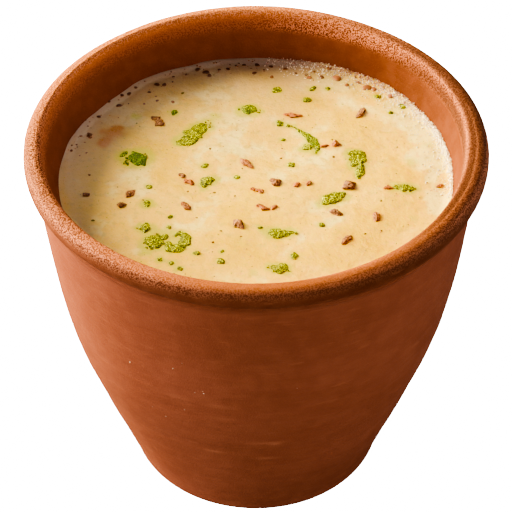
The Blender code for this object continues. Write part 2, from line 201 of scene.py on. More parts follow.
cup = {
    "body": ((0.0, 24.8), (8.5, 27.5), (21.3, 32.2), (35.5, 37.1), (49.7, 40.2), (61.1, 41.7), (71.0, 42.9)),
    "footEdge": (4.1, 3.4),  # width and height of the rounding at the foot
    "bead": (2.75, 2.3, 1.6),  # half height, outer and inner half width of the rolled rim
    "beadSquare": 0.70,  # 1 is a plain ellipse, and less gives the rim a flatter top
    "beadStart": -58.0,  # degrees on the bead where it leaves the neck
    "neck": ((43.06, 71.9), (43.42, 72.6), (43.52, 73.05), (43.38, 73.5), (43.22, 73.85)),  # radius, height
    "hollow": ((7.0, 20.0), (13.0, 24.1), (25.0, 29.3), (40.0, 34.3), (55.0, 37.4), (69.0, 39.2),
               (74.2, 40.95), (76.35, 41.1)),
    "floor": 7.0,
    "floorRounding": 3.0,
    "segments": 384,
    "fineStep": 0.24,  # spacing on the rim and neck
    "bodyStep": 0.62,
    # round the cup, each list is (degrees, value), with a smooth curve between
    "footLean": ((-180, 0.38), (-135, 0.28), (-90, 0.05), (-45, 0.15), (0, 0.05), (90, 0.0)),  # mm more foot
    # mm more rim
    "rimLean": ((-180, 0.0), (-90, 0.0), (-40, 0.05), (0, 0.16), (25, 0.0), (55, -0.2), (90, 0.0),
                (130, -0.2), (160, -0.05)),
    # mm that the inner lip leans in
    "lipLean": ((-180, 0.0), (-75, 0.0), (-52, 0.35), (-36, 0.65), (-20, 0.85), (-6, 0.8), (8, 0.5),
                (22, 0.2), (34, 0.0), (100, 0.0)),
    # share of sandy grit on the rim
    "sand": ((-180, 0.8), (-140, 0.8), (-118, 0.7), (-98, 0.45), (-70, 0.45), (-40, 0.7), (-5, 0.95),
             (30, 1.0), (70, 1.1), (100, 1.1), (125, 0.85), (150, 0.7)),
    # painted light: pale grit on the up-facing crest at the back
    "paintedBackCrestLight": ((-180, 0.3), (-160, 0.15), (-138, 0.0), (50, 0.0), (72, 0.05), (92, 0.6), (120, 0.8),
               (150, 0.55)),
    # painted light: the crest is made paler at the front and the back
    "paintedCrestLight": ((-180, 0.1), (-150, 0.05), (-120, 0.5), (-90, 0.7), (-60, 0.45), (-30, 0.1), (0, 0.0),
              (30, 0.0), (60, 0.2), (85, 0.8), (125, 0.9), (150, 0.7), (170, 0.4)),
    # painted shade over the rim
    "rimShade": ((-180, 0.5), (-165, 0.75), (-145, 0.75), (-120, 0.2), (-75, 0.25), (-45, 0.95), (-20, 1.25),
              (15, 1.65), (40, 1.2), (70, 0.5), (100, 0.0), (150, 0.0)),
    # painted shade on the inner lip
    "lipShade": ((-180, 0.0), (-65, 0.0), (-38, 0.35), (-10, 0.6), (10, 1.2), (30, 0.7), (50, 0.0),
                 (100, 0.0)),
    # painted shade on the rim's outer side
    "skirtShade": ((-180, 0.0), (-140, 0.05), (-120, 0.25), (-100, 0.2), (-80, 0.3), (-58, 0.55),
                   (-35, 0.5), (-12, 0.15), (10, 0.0), (100, 0.0)),
    # painted shade on the inner wall
    "liningShade": ((-180, 0.0), (-60, 0.0), (-25, 0.45), (0, 0.05), (20, 0.2), (42, 0.4), (60, 0.3),
                    (78, 0.05), (95, 0.0), (122, 0.15), (155, 0.15), (176, 0.0)),
    # painted shade at the foot
    "footShade": ((-180, 0.0), (-120, 0.0), (-95, 0.2), (-60, 0.35), (-30, 0.35), (0, 0.2), (30, 0.0),
                  (100, 0.0)),
    # (degrees, height, length in degrees, width, depth)
    "dents": ((-85.0, 56.8, 24.0, 1.6, 0.16), (-97.0, 57.4, 14.0, 1.0, 0.09),
              (-112.0, 40.0, 22.0, 1.2, 0.08), (-72.0, 44.0, 26.0, 1.6, 0.09),
              (-88.0, 23.5, 28.0, 1.4, 0.10), (-60.0, 63.5, 26.0, 1.8, 0.08)),
    # (degrees, height, half length in degrees, half width, strength)
    "scuffs": ((-87.5, 31.3, 5.5, 0.5, 0.9), (-84.0, 30.6, 1.6, 0.5, 1.0), (-86.0, 24.7, 4.0, 0.5, 0.7),
               (-104.0, 26.2, 4.0, 0.45, 0.8), (-100.0, 44.0, 4.5, 0.4, 0.7), (-99.0, 39.8, 4.0, 0.4, 0.5),
               (-106.0, 46.5, 2.5, 0.8, 0.5), (-112.0, 44.5, 3.5, 0.6, 0.5)),
}
# Unevenness of the thrown wall: (amount, size along and round the wall, size up the wall)
wallWaves = ((0.16, 26.0, 17.0), (0.055, 60.0, 3.4), (0.030, 40.0, 1.7), (0.045, 7.0, 6.0), (0.022, 2.4, 2.0))
# The inner wall stands a little proud at the back left: (degrees, mm)
innerBulge = (
    (-180, 0.85), (-165, 0.8), (-150, 0.45), (-120, 0.1), (-90, 0.0), (-55, 0.1), (-30, 0.45), (-12, 0.8),
    (2, 0.9), (14, 0.75), (26, 0.55), (38, 0.4), (50, 0.1), (62, 0.5),
    (76, 0.75), (92, 0.85), (105, 0.9), (114, 0.8), (124, 0.5), (134, 1.0), (143, 1.25), (153, 1.0),
    (161, 0.7), (170, 0.8),
)


def ellipseArc(centre, halves, start, end, steps, power=1.0):
    # (radius, height) points at equal angles on an ellipse, in degrees; sine and cosine to a power below 1
    # square it up
    angle = np.radians(np.linspace(start, end, steps))
    c, s = (np.sign(f) * np.abs(f) ** power for f in (np.cos(angle), np.sin(angle)))
    return np.stack([centre[0] + halves[0] * c, centre[1] + halves[1] * s], -1)


def cupSection():
    # section in mm from the middle of the foot, up the outside, over the rim and down inside to the floor
    top, rim = cupHigh.z / mm, cupHigh.x / mm
    halfHeight, outer, inner = cup["bead"]
    beadMiddle = (rim - outer, top - halfHeight)
    edgeWidth, edgeHeight = cup["footEdge"]
    footMiddle = (float(curveThrough(cup["body"], edgeHeight)) - edgeWidth, edgeHeight)
    flat = np.stack([np.linspace(0.0, footMiddle[0], 10), np.zeros(10)], -1)
    foot = ellipseArc(footMiddle, (edgeWidth, edgeHeight), -90, 0, 12)
    bodyHeights = np.arange(edgeHeight + cup["bodyStep"], cup["body"][-1][0], cup["bodyStep"])
    body = np.stack([curveThrough(cup["body"], bodyHeights), bodyHeights], -1)
    neckPoints = np.array([body[-1]] + list(cup["neck"]))
    along = np.arange(len(neckPoints))
    fine = np.linspace(0, along[-1], 14)[1:]
    neck = np.stack([curveThrough(np.stack([along, neckPoints[:, k]], -1), fine) for k in (0, 1)], -1)
    lowerBead = ellipseArc(beadMiddle, (outer, halfHeight), cup["beadStart"], 0, 13)
    upperBead = ellipseArc(beadMiddle, (outer, halfHeight), 0, 90, 21, cup["beadSquare"])
    outerBead = np.concatenate([lowerBead, upperBead[1:]])
    innerBead = ellipseArc(beadMiddle, (inner, halfHeight), 90, 176, 20)[1:]
    upperHollow = np.arange(cup["hollow"][-1][0] - 0.2, 66.0, -cup["fineStep"])
    lowerHollow = np.linspace(66.0, cup["floor"] + cup["floorRounding"], 14)[1:]
    heights = np.concatenate([upperHollow, lowerHollow])
    hollow = np.stack([curveThrough(cup["hollow"], heights), heights], -1)
    rounding = cup["floorRounding"]
    floorEdge = (hollow[-1, 0] - rounding, cup["floor"] + rounding)
    floor = ellipseArc(floorEdge, (rounding, rounding), 0, -90, 6)[1:]
    lastly = np.stack([np.linspace(floor[-1, 0], 0.0, 6), np.full(6, cup["floor"])], -1)[1:]
    return np.concatenate([flat, foot[1:], body, neck, outerBead, innerBead, hollow, floor, lastly])


def wallRadius(degrees, height):
    # radius of the uneven inner wall, in metres, at an angle and a height in mm
    plain = curveThrough(cup["hollow"], height)
    return (plain - roundCurve(innerBulge, degrees)) * mm


def clayMasks(degrees, height, normal, inside, rimShare):
    # shares from 0 to 1 of each tone of clay, of painted light on the crest and of painted shade: a curve
    # round the cup times soft steps in height and in how far up it faces
    around360 = np.broadcast_to(degrees[None], (len(height), len(degrees)))
    facing = normal[:, 1:]
    gritted = np.where(inside[:, None], smoothStep(74.3, 76.0, height), smoothStep(76.0, 77.6, height))
    sand = roundCurve(cup["sand"], around360) * gritted
    # painted light: at the back the up-facing crest gets more pale grit than the outer side
    paintedBackCrestLight = roundCurve(cup["paintedBackCrestLight"], around360)
    sand += paintedBackCrestLight * rimShare * np.where(inside[:, None], smoothStep(0.45, 0.90, facing),
                                         smoothStep(0.93, 0.995, facing))
    backward = np.clip(paintedBackCrestLight / 0.6, 0.0, 1.0)
    outerSide = ~inside[:, None] * (1.0 - smoothStep(0.90, 0.998, facing))
    innerSide = inside[:, None] * (1.0 - smoothStep(0.25, 0.75, facing))
    # at the back, less pale grit on the outer side as painted shade, and a narrower sandy band on the inner
    # side
    sand *= 1.0 - backward * (0.35 * outerSide + 0.75 * innerSide)
    scuff = np.zeros(around360.shape)
    # pale scuffs where the slip is rubbed
    for at, up, length, width, strength in cup["scuffs"]:
        scuff += strength * np.exp(-(((around360 - at) / length) ** 2) - ((height - up) / width) ** 2)
    # painted light: the up-facing crest of the rim is made paler at the front and the back
    upward = np.where(inside[:, None], smoothStep(0.0, 0.6, facing), smoothStep(0.35, 0.9, facing))
    paintedCrestLight = roundCurve(cup["paintedCrestLight"], around360) * upward * rimShare * (1.0 - 0.45 * backward * outerSide)
    # painted shade: the clay is made darker inside, in the fold under the rim, and over the rim at the right
    fold = smoothStep(72.2, 73.6, height) * (1.0 - smoothStep(0.25, 0.75, facing))
    upFacing = np.where(inside[:, None], smoothStep(0.3, 0.95, facing), upward)
    paintedShade = np.where(inside[:, None], 0.30 * (1.0 - smoothStep(75.2, 76.6, height)), 0.72 * fold)
    overRim = np.maximum(0.9 * upFacing * rimShare, 0.27 * inside[:, None])
    paintedShade = paintedShade + roundCurve(cup["rimShade"], around360) * overRim
    onLip = inside[:, None] * smoothStep(74.8, 76.2, height) * (1.0 - upward)
    paintedShade += roundCurve(cup["lipShade"], around360) * onLip
    paintedShade += roundCurve(cup["skirtShade"], around360) * ~inside[:, None] * rimShare * (1.0 - upward)
    # painted shade on the outer side of the rim at the back
    paintedShade += 0.50 * backward * outerSide * rimShare
    paintedShade += roundCurve(cup["liningShade"], around360) * inside[:, None]
    # painted shade also a little at the foot and high on the front
    nearFoot = ~inside[:, None] * (1.0 - smoothStep(3.0, 22.0, height))
    paintedShade += roundCurve(cup["footShade"], around360) * nearFoot
    highUp = ~inside[:, None] * smoothStep(50.0, 62.0, height) * (1.0 - rimShare)
    paintedShade += 0.14 * np.exp(-(((degrees[None] + 88.0) / 24.0) ** 2)) * highUp
    return {"sand": sand, "scuff": scuff, "paintedCrestLight": paintedCrestLight, "paintedShade": paintedShade,
            "inside": np.where(inside[:, None], 1.0, 0.0) * np.ones(around360.shape)}


def makeCup():
    # each section point is turned through the circle, then pushed along its own normal by layered noise
    section = cupSection()
    inside = np.arange(len(section)) > np.argmax(section[:, 1])
    sweep = np.gradient(section, axis=0)
    sweep /= np.linalg.norm(sweep, axis=1, keepdims=True)
    normal = np.stack([sweep[:, 1], -sweep[:, 0]], -1)
    angle = np.arange(cup["segments"]) * fullTurn / cup["segments"]
    degrees = np.degrees(angle)
    degrees = np.where(degrees > 180.0, degrees - 360.0, degrees)
    radius, height = section[:, :1], section[:, 1:]
    around = np.stack([np.cos(angle), np.sin(angle)], -1)[None]
    base = np.concatenate([radius[..., None] * around,
                           np.broadcast_to(height[..., None], (len(section), len(angle), 1))], -1)
    push = np.zeros(base.shape[:2])
    for k, (amount, alongSize, upSize) in enumerate(wallWaves):
        push += amount * softNoise(base, (alongSize, alongSize, upSize), 31 + k)
    aboveFoot = smoothStep(1.5, 9.0, height)
    rimShare = smoothStep(74.0, 77.0, height)
    push *= aboveFoot * np.where(inside[:, None], 0.35, 1.0) * (1.0 - 0.45 * rimShare)
    sandy = softNoise(base, 0.9, 71) + 0.7 * softNoise(base, 0.55, 72)
    push += 0.020 * sandy * rimShare
    # the cup is a little out of round: more foot at the left, and a rim drawn in at the back's two corners
    footLean = roundCurve(cup["footLean"], degrees) * np.exp(-(((height - 15.0) / 13.0) ** 2))
    rimLean = roundCurve(cup["rimLean"], degrees)
    lean = footLean * smoothStep(0.0, 5.0, height) + rimLean * smoothStep(73.5, 75.5, height)
    push += lean * np.where(inside[:, None], 0.0, 1.0)
    # shallow dents and tool marks on the outside
    for at, up, length, width, depth in cup["dents"]:
        dent = np.exp(-(((degrees[None] - at) / (0.5 * length)) ** 2) - ((height - up) / width) ** 2)
        push -= depth * dent * np.where(inside[:, None], 0.0, 1.0)
    bulge = roundCurve(innerBulge, degrees)[None] * np.where(inside[:, None], 1.0, 0.0)
    bulge = bulge * smoothStep(30.0, 60.0, height) * (1.0 - smoothStep(72.5, 76.5, height))
    lipLean = roundCurve(cup["lipLean"], degrees)[None]
    underCrest = 1.0 - smoothStep(0.8, 1.0, normal[:, 1:])
    bulge = bulge + lipLean * inside[:, None] * smoothStep(73.5, 75.5, height) * underCrest
    newRadius = radius + normal[:, :1] * push - bulge
    newHeight = height + normal[:, 1:] * push
    grid = np.stack([newRadius * around[..., 0], newRadius * around[..., 1], newHeight], -1) * mm
    rings, sides = len(section) - 2, len(angle)
    points = np.concatenate([grid[1:-1].reshape(-1, 3), grid[:1, :1].reshape(-1, 3),
                             grid[-1:, :1].reshape(-1, 3)])
    quads, fans = shellFaces(1, rings, sides)
    values = clayMasks(degrees, height, normal, inside, rimShare)
    flatValues = {k: np.concatenate([v[1:-1].ravel(), v[:1, 0], v[-1:, 0]]) for k, v in values.items()}
    return putMesh("cup_clay", points, quads, fans, **flatValues)


# Drink: its top, and what lies on it

drink = {
    "level": 69.1,
    "reach": 0.35,  # how far the drink's edge runs into the clay, so that no gap shows
    "rise": (0.5, 2.0),  # height and width of the edge that climbs the wall
    "froth": (0.22, 1.4),  # extra height and width of the edge where froth has climbed
    "frothFrom": -4.0,  # degrees: the froth runs from the right round to the back
    "frothTo": 74.0,
    "waves": ((0.13, 3.6, 4.5), (0.06, 2.1, 1.5)),
    "rings": 132,
    "segments": 480,
}

# Chopped herb in heaps: x, y and width in mm along each heap, and green from 0 (yellow) to 1 (deep)
herbHeaps = (
    {"path": ((-16.0, 11.6, 1.0), (-14.8, 10.9, 2.0), (-13.5, 11.7, 2.7), (-12.6, 13.4, 2.8),
              (-11.7, 14.9, 2.8), (-10.7, 16.1, 2.6), (-10.0, 16.6, 1.9)), "green": 0.50},
    {"path": ((-24.8, 4.9, 2.6), (-23.8, 5.5, 3.7), (-22.8, 6.1, 3.6), (-22.0, 6.6, 2.4)), "green": 0.95},
    {"path": ((-10.1, -3.0, 0.9), (-10.2, -1.9, 1.3), (-9.3, -1.0, 1.9), (-8.0, -0.8, 0.9)), "green": 0.50},
    {"path": ((-22.2, -15.2, 1.1), (-21.2, -15.2, 2.0), (-20.3, -15.4, 1.1)), "green": 0.40},
    {"path": ((-20.3, -20.7, 2.2), (-19.7, -19.8, 2.9), (-19.2, -18.6, 2.9), (-18.7, -17.6, 2.1)),
     "green": 0.50},
    {"path": ((-18.4, -17.6, 1.1), (-17.5, -17.9, 1.4), (-16.9, -18.3, 0.8)), "green": 0.35},
    {"path": ((-16.5, -19.0, 1.2), (-16.7, -20.2, 1.7), (-16.0, -21.1, 1.9), (-15.0, -21.2, 1.8),
              (-14.1, -20.3, 1.7), (-13.5, -18.8, 1.8), (-13.8, -17.5, 1.3),
              (-14.7, -16.9, 1.0), (-15.6, -17.7, 1.0)), "green": 0.50},
    {"path": ((2.2, -16.6, 1.7), (3.3, -16.6, 2.6), (4.8, -16.9, 1.9), (6.1, -16.7, 1.3),
              (7.3, -16.5, 1.2)), "green": 0.45},
    {"path": ((2.7, -26.5, 1.2), (3.9, -27.0, 2.0), (5.1, -27.2, 2.1), (5.9, -27.6, 1.1)), "green": 0.35},
    {"path": ((7.5, 15.9, 0.5), (9.0, 14.3, 0.9), (10.4, 12.7, 1.2), (11.5, 10.9, 1.3), (12.1, 8.9, 1.2),
              (11.8, 7.3, 0.8)), "green": 0.70},
    {"path": ((9.2, 8.7, 0.8), (10.1, 9.5, 1.4), (10.9, 8.8, 1.0)), "green": 0.45},
    {"path": ((18.1, 7.1, 0.8), (19.2, 7.5, 1.5), (20.2, 7.1, 2.0), (19.9, 5.1, 2.4), (18.8, 3.4, 1.5)),
     "green": 0.45},
    {"path": ((20.6, 4.0, 1.4), (20.4, 1.6, 1.3), (19.9, -0.1, 0.7)), "green": 0.55},
    {"path": ((12.8, -8.3, 1.2), (13.8, -7.2, 2.0), (14.9, -6.2, 2.3), (16.4, -5.6, 2.0),
              (17.0, -5.9, 1.1)), "green": 0.35},
    {"path": ((26.6, -3.2, 1.1), (27.8, -3.2, 1.7), (29.2, -3.4, 1.7), (30.4, -3.6, 1.4),
              (31.2, -3.4, 0.8)), "green": 0.55},
    {"path": ((-2.9, 21.3, 1.8), (-1.9, 21.5, 2.6), (-0.9, 21.4, 2.4), (0.2, 20.8, 1.3)), "green": 0.70},
)
# Single scraps of herb: x, y, length, width in mm, turn in degrees, green
herbScraps = (
    (-26.2, 7.2, 2.7, 0.9, 46, 0.75), (-10.1, 3.5, 2.3, 1.1, 40, 0.3), (-3.8, 0.1, 1.6, 1.0, 47, 0.2),
    (-20.9, -3.2, 1.7, 1.1, -37, 0.4),
    (-21.1, -8.2, 2.7, 1.0, 85, 0.0), (-16.5, -12.1, 1.2, 0.9, -37, 0.3), (-16.7, -15.1, 1.2, 0.7, 0, 0.2),
    (-11.3, -22.7, 1.7, 0.9, 0, 0.5),
    (-6.7, -25.1, 1.9, 1.2, 43, 0.5), (-6.4, -22.3, 1.1, 0.6, 60, 0.4), (7.2, -23.4, 2.5, 1.1, 87, 0.5),
    (7.0, 3.9, 2.2, 1.2, -58, 0.4),
    (4.8, 17.0, 2.4, 1.1, -54, 0.5), (5.4, 11.9, 1.5, 0.7, 5, 0.1), (12.6, -14.5, 1.5, 0.9, 56, 0.5),
    (4.2, 27.9, 2.8, 1.2, 51, 0.3),
    (10.3, 24.9, 2.2, 1.3, -52, 0.6), (11.6, 28.6, 2.3, 0.9, 49, 0.3), (24.7, 25.8, 1.8, 1.0, 80, 0.1),
    (29.7, 22.6, 1.9, 1.1, 60, 0.2),
    (27.2, 20.3, 1.2, 0.9, 0, 0.2), (14.7, 28.6, 1.3, 0.8, 60, 0.2), (-16.5, 20.5, 2.1, 0.9, 77, 0.9),
    (6.4, 16.2, 1.2, 0.6, -30, 0.4),
    (0.8, -15.2, 1.3, 0.7, 20, 0.2), (-18.1, -24.4, 1.3, 0.7, 50, 0.3), (-15.9, -25.5, 1.3, 0.8, -20, 0.2),
    (-14.3, -27.1, 1.2, 0.8, 35, 0.3),
)
herb = {"height": 0.10, "heightByWidth": 0.06, "grain": 0.30, "grainHeight": 0.16, "ragged": 0.28,
        "looseFlakes": 150}
# Roasted cumin: x, y, length, width in mm, turn in degrees, red from 0 (dark brown) to 1 (chilli red)
cuminGrains = (
    (-1.9, 4.2, 4.2, 1.5, -50, 0.55), (-24.4, -5.0, 3.2, 1.5, 56, 0.3), (-13.5, -8.8, 3.0, 1.5, -56, 0.45),
    (-3.4, -14.5, 3.3, 1.8, -54, 0.3),
    (3.8, -1.7, 2.9, 2.1, -51, 0.3), (18.1, -2.5, 3.1, 2.5, 30, 0.15), (15.4, -10.9, 3.0, 1.5, -28, 0.15),
    (23.1, -12.1, 3.0, 1.5, 92, 0.45),
    (17.2, -19.0, 3.4, 1.4, 56, 0.35), (21.2, 20.6, 4.1, 1.6, 64, 0.2), (-26.0, -8.5, 1.9, 1.6, 0, 0.05),
    (15.9, 10.0, 2.1, 1.7, 0, 0.7),
    (35.8, -2.6, 1.8, 0.9, 33, 0.5), (10.2, -1.9, 1.8, 1.0, 60, 0.5),
)
# Chilli flakes, the same way round
chilliFlakes = (
    (-14.5, 0.5, 1.7, 1.2, -45, 0.25), (-13.1, -1.4, 2.6, 1.5, -49, 0.95), (1.3, -9.3, 3.0, 1.3, -24, 0.65),
    (3.5, -9.4, 1.6, 0.9, 50, 0.5),
    (7.4, 19.7, 4.0, 1.3, -5, 0.8), (7.9, -2.5, 1.8, 1.3, 34, 0.85), (0.8, -4.4, 1.9, 1.3, -40, 0.7),
    (-0.5, -3.7, 1.3, 0.9, 0, 0.8),
    (13.6, 9.6, 2.0, 0.7, 5, 0.8), (25.7, -3.4, 1.9, 1.2, 0, 0.95), (-33.0, -5.3, 1.5, 1.1, -30, 0.30),
    (-20.2, 18.4, 2.4, 1.7, -55, 0.1),
    (-19.4, 17.1, 2.4, 1.9, -48, 0.15), (-33.2, 13.1, 1.9, 1.1, -61, 0.05),
)
# Whole pepper specks that show one by one: x, y in mm
pepperSpecks = (
    (-4.1, -5.7), (-6.7, -16.2), (-8.2, -19.7), (-2.9, -17.8), (-9.1, 8.7), (-13.3, -4.4), (-8.1, -4.5),
    (15.3, 6.3), (20.8, -17.0), (23.9, -16.1),
    (24.2, -7.3), (-31.3, -13.2), (-32.7, 0.8), (-15.0, 27.1), (-4.0, -15.1), (20.7, 1.1), (4.9, 6.0),
)
# Bubbles at the wall: x, y, width in mm, and how dark from 0 (froth) to 1 (dark brown); the darkness is
# painted shade and a painted reflection of the shaded wall
wallBubbles = (
    (-34.3, 17.5, 0.9, 0.9), (-31.7, 19.2, 1.2, 1.0), (-29.9, 23.8, 1.0, 0.9), (-27.8, 22.9, 1.1, 1.0),
    (-27.3, 26.1, 1.1, 1.0), (-25.9, 26.8, 1.0, 1.0),
    (-21.8, 27.2, 0.8, 0.9), (-22.7, 23.5, 0.8, 0.6), (-20.1, 24.4, 0.9, 0.7), (-20.3, 29.9, 1.3, 1.0),
    (-18.8, 29.9, 1.1, 0.9), (-17.0, 32.6, 0.8, 0.8),
    (-16.9, 23.9, 0.8, 0.5), (-12.0, 35.0, 1.3, 1.0), (-10.3, 34.0, 1.6, 0.9), (-9.6, 33.0, 1.0, 0.8),
    (-7.6, 34.8, 1.0, 0.9), (-5.8, 35.0, 1.2, 0.9),
    (-4.2, 36.3, 0.8, 0.9), (-2.5, 36.6, 1.0, 0.9), (0.2, 36.7, 1.3, 0.9), (-0.4, 33.9, 1.0, 0.8),
    (3.1, 36.2, 1.3, 0.9), (3.2, 32.7, 1.1, 0.6),
    (6.0, 35.3, 1.1, 0.7), (8.2, 33.8, 0.7, 0.8), (10.3, 33.2, 0.7, 0.7), (10.9, 32.2, 1.1, 0.4),
    (13.5, 32.4, 1.2, 0.7), (15.1, 35.0, 1.4, 0.6),
    (16.6, 32.1, 2.2, 0.45), (18.6, 29.8, 1.2, 0.6), (22.7, 28.9, 2.4, 0.55), (24.1, 28.4, 1.3, 0.5),
    (27.5, 26.0, 1.8, 0.45), (21.0, 30.8, 1.0, 0.4),
    (-36.6, 8.2, 0.8, 0.8), (-35.0, 12.9, 0.7, 0.7), (-24.6, 28.6, 0.8, 0.8), (-14.4, 33.4, 0.8, 0.8),
    (1.6, 35.2, 0.7, 0.8), (12.0, 34.3, 0.8, 0.6),
)


def drinkTop(x, y):
    # height of the drink in metres: two crossing waves, soft lumps, and an edge that climbs the wall
    xs, ys = np.asarray(x, float) / mm, np.asarray(y, float) / mm
    (long, longX, longY), (short, shortX, shortY) = drink["waves"]
    waves = (long * np.sin(xs / longX + 0.5) * np.cos(ys / longY + 1.1)
             + short * np.sin(xs / shortX + ys / shortY))
    places = np.stack([xs, ys, np.zeros_like(xs)], -1)
    lumps = 0.035 * softNoise(places, 2.6, 5) + 0.018 * softNoise(places, 1.1, 6)
    lumps += 0.13 * np.clip(softSpots(places, sunkChilli), 0.0, 1.0)
    degrees = np.degrees(np.arctan2(ys, xs))
    fromWall = wallRadius(degrees, drink["level"]) / mm - np.hypot(xs, ys)
    rise, width = drink["rise"]
    climb = rise * np.clip(1.0 - fromWall / width, 0.0, 1.0) ** 2
    frothRise, frothWidth = drink["froth"]
    ragged = 0.65 + 0.5 * softNoise(places, 1.4, 8) + 0.35 * softNoise(places, 0.6, 9)
    here = (smoothStep(drink["frothFrom"] - 8.0, drink["frothFrom"] + 14.0, degrees)
            * (1.0 - smoothStep(drink["frothTo"] - 12.0, drink["frothTo"] + 10.0, degrees)))
    froth = frothRise * ragged * here * np.clip(1.0 - fromWall / frothWidth, 0.0, 1.0) ** 1.5
    return (drink["level"] + waves + lumps + climb + froth) * mm


def softSpots(points, spots):
    # sum of strength * exp(-(distance / size)^2) over spots (x, y, size, strength), all in mm
    total = np.zeros(points.shape[:-1])
    for x, y, size, strength in spots:
        total += strength * np.exp(-((points[..., 0] - x) ** 2 + (points[..., 1] - y) ** 2) / size**2)
    return total


# Soft patches of the drink: x, y, size, strength; above 0 buttery, below 0 milky
drinkPatches = (
    (17.0, 12.0, 5.0, 0.6), (24.5, 11.0, 6.0, 0.2), (28.0, 1.0, 6.0, 1.2), (25.0, -12.0, 7.0, 1.1),
    (14.0, -25.0, 5.0, 0.7), (2.0, 27.0, 8.0, 0.7), (13.5, 23.4, 4.0, 0.6), (17.0, 29.5, 4.0, -0.6),
    (-22.0, 10.0, 6.0, 0.4), (-15.0, 0.0, 6.0, 0.8), (-4.0, 1.0, 4.0, 0.5), (10.0, 20.0, 5.0, 0.3),
    (9.0, -12.0, 4.0, 0.4), (0.0, -15.0, 6.0, 1.2),
    (-2.0, -23.0, 5.0, 0.9), (-14.0, -23.0, 6.0, 0.6), (-24.0, -13.0, 6.0, 0.5), (22.0, -20.0, 6.0, 0.5),
    (8.0, 8.0, 4.0, -0.4),
    (-7.5, 8.0, 5.0, -0.7), (-1.5, 8.5, 4.0, -0.7), (18.5, 27.0, 4.0, -0.9), (-15.0, -13.5, 3.5, -0.5),
    (-9.0, -9.0, 5.0, -0.8), (3.0, 14.0, 6.0, -0.4), (12.5, 3.5, 4.5, -0.6), (16.0, -8.0, 4.0, -0.7),
    (6.5, -22.0, 3.5, -0.9),
    (35.0, 8.0, 6.0, -1.7), (33.0, 17.0, 6.0, -1.5), (34.0, -8.0, 5.0, -1.5), (28.0, 22.0, 5.0, -0.9),
    (4.0, -6.0, 4.0, -0.4), (0.5, 3.0, 4.0, -0.4),
)
# Herb wholly under the surface, seen as soft olive marks: x, y, size, strength
sunkHerb = (
    (-18.1, -24.4, 1.2, 0.6), (-21.2, -22.6, 1.2, 0.6), (-15.9, -25.5, 0.9, 0.6), (-14.3, -27.1, 1.1, 0.5),
    (-0.6, -28.1, 1.3, 0.7), (30.6, 4.9, 1.6, 0.7),
    (30.2, -12.4, 1.2, 0.6), (34.4, 10.1, 1.2, 0.6), (-24.5, 19.3, 1.3, 0.7), (-8.1, 19.6, 1.6, 0.7),
    (-11.0, 29.5, 2.6, 0.10), (-6.0, 30.0, 2.4, 0.12),
    (-21.1, -8.2, 1.5, 0.8), (17.0, 10.8, 1.3, 0.4), (13.0, -27.0, 2.0, 0.3), (-3.0, -19.5, 1.8, 0.3),
    (-11.5, -15.0, 1.4, 0.25),
)
# Chilli half sunk at the left: x, y, size, strength
sunkChilli = ((-27.4, 15.6, 0.9, 1.1), (-28.4, 14.2, 1.3, 0.6), (-29.4, 11.8, 1.2, 0.7),
              (-30.3, 10.6, 1.2, 0.9), (-26.4, 13.6, 1.5, 0.35), (-30.4, 14.6, 1.0, 0.45),
              (-28.6, 13.0, 2.6, 0.3))


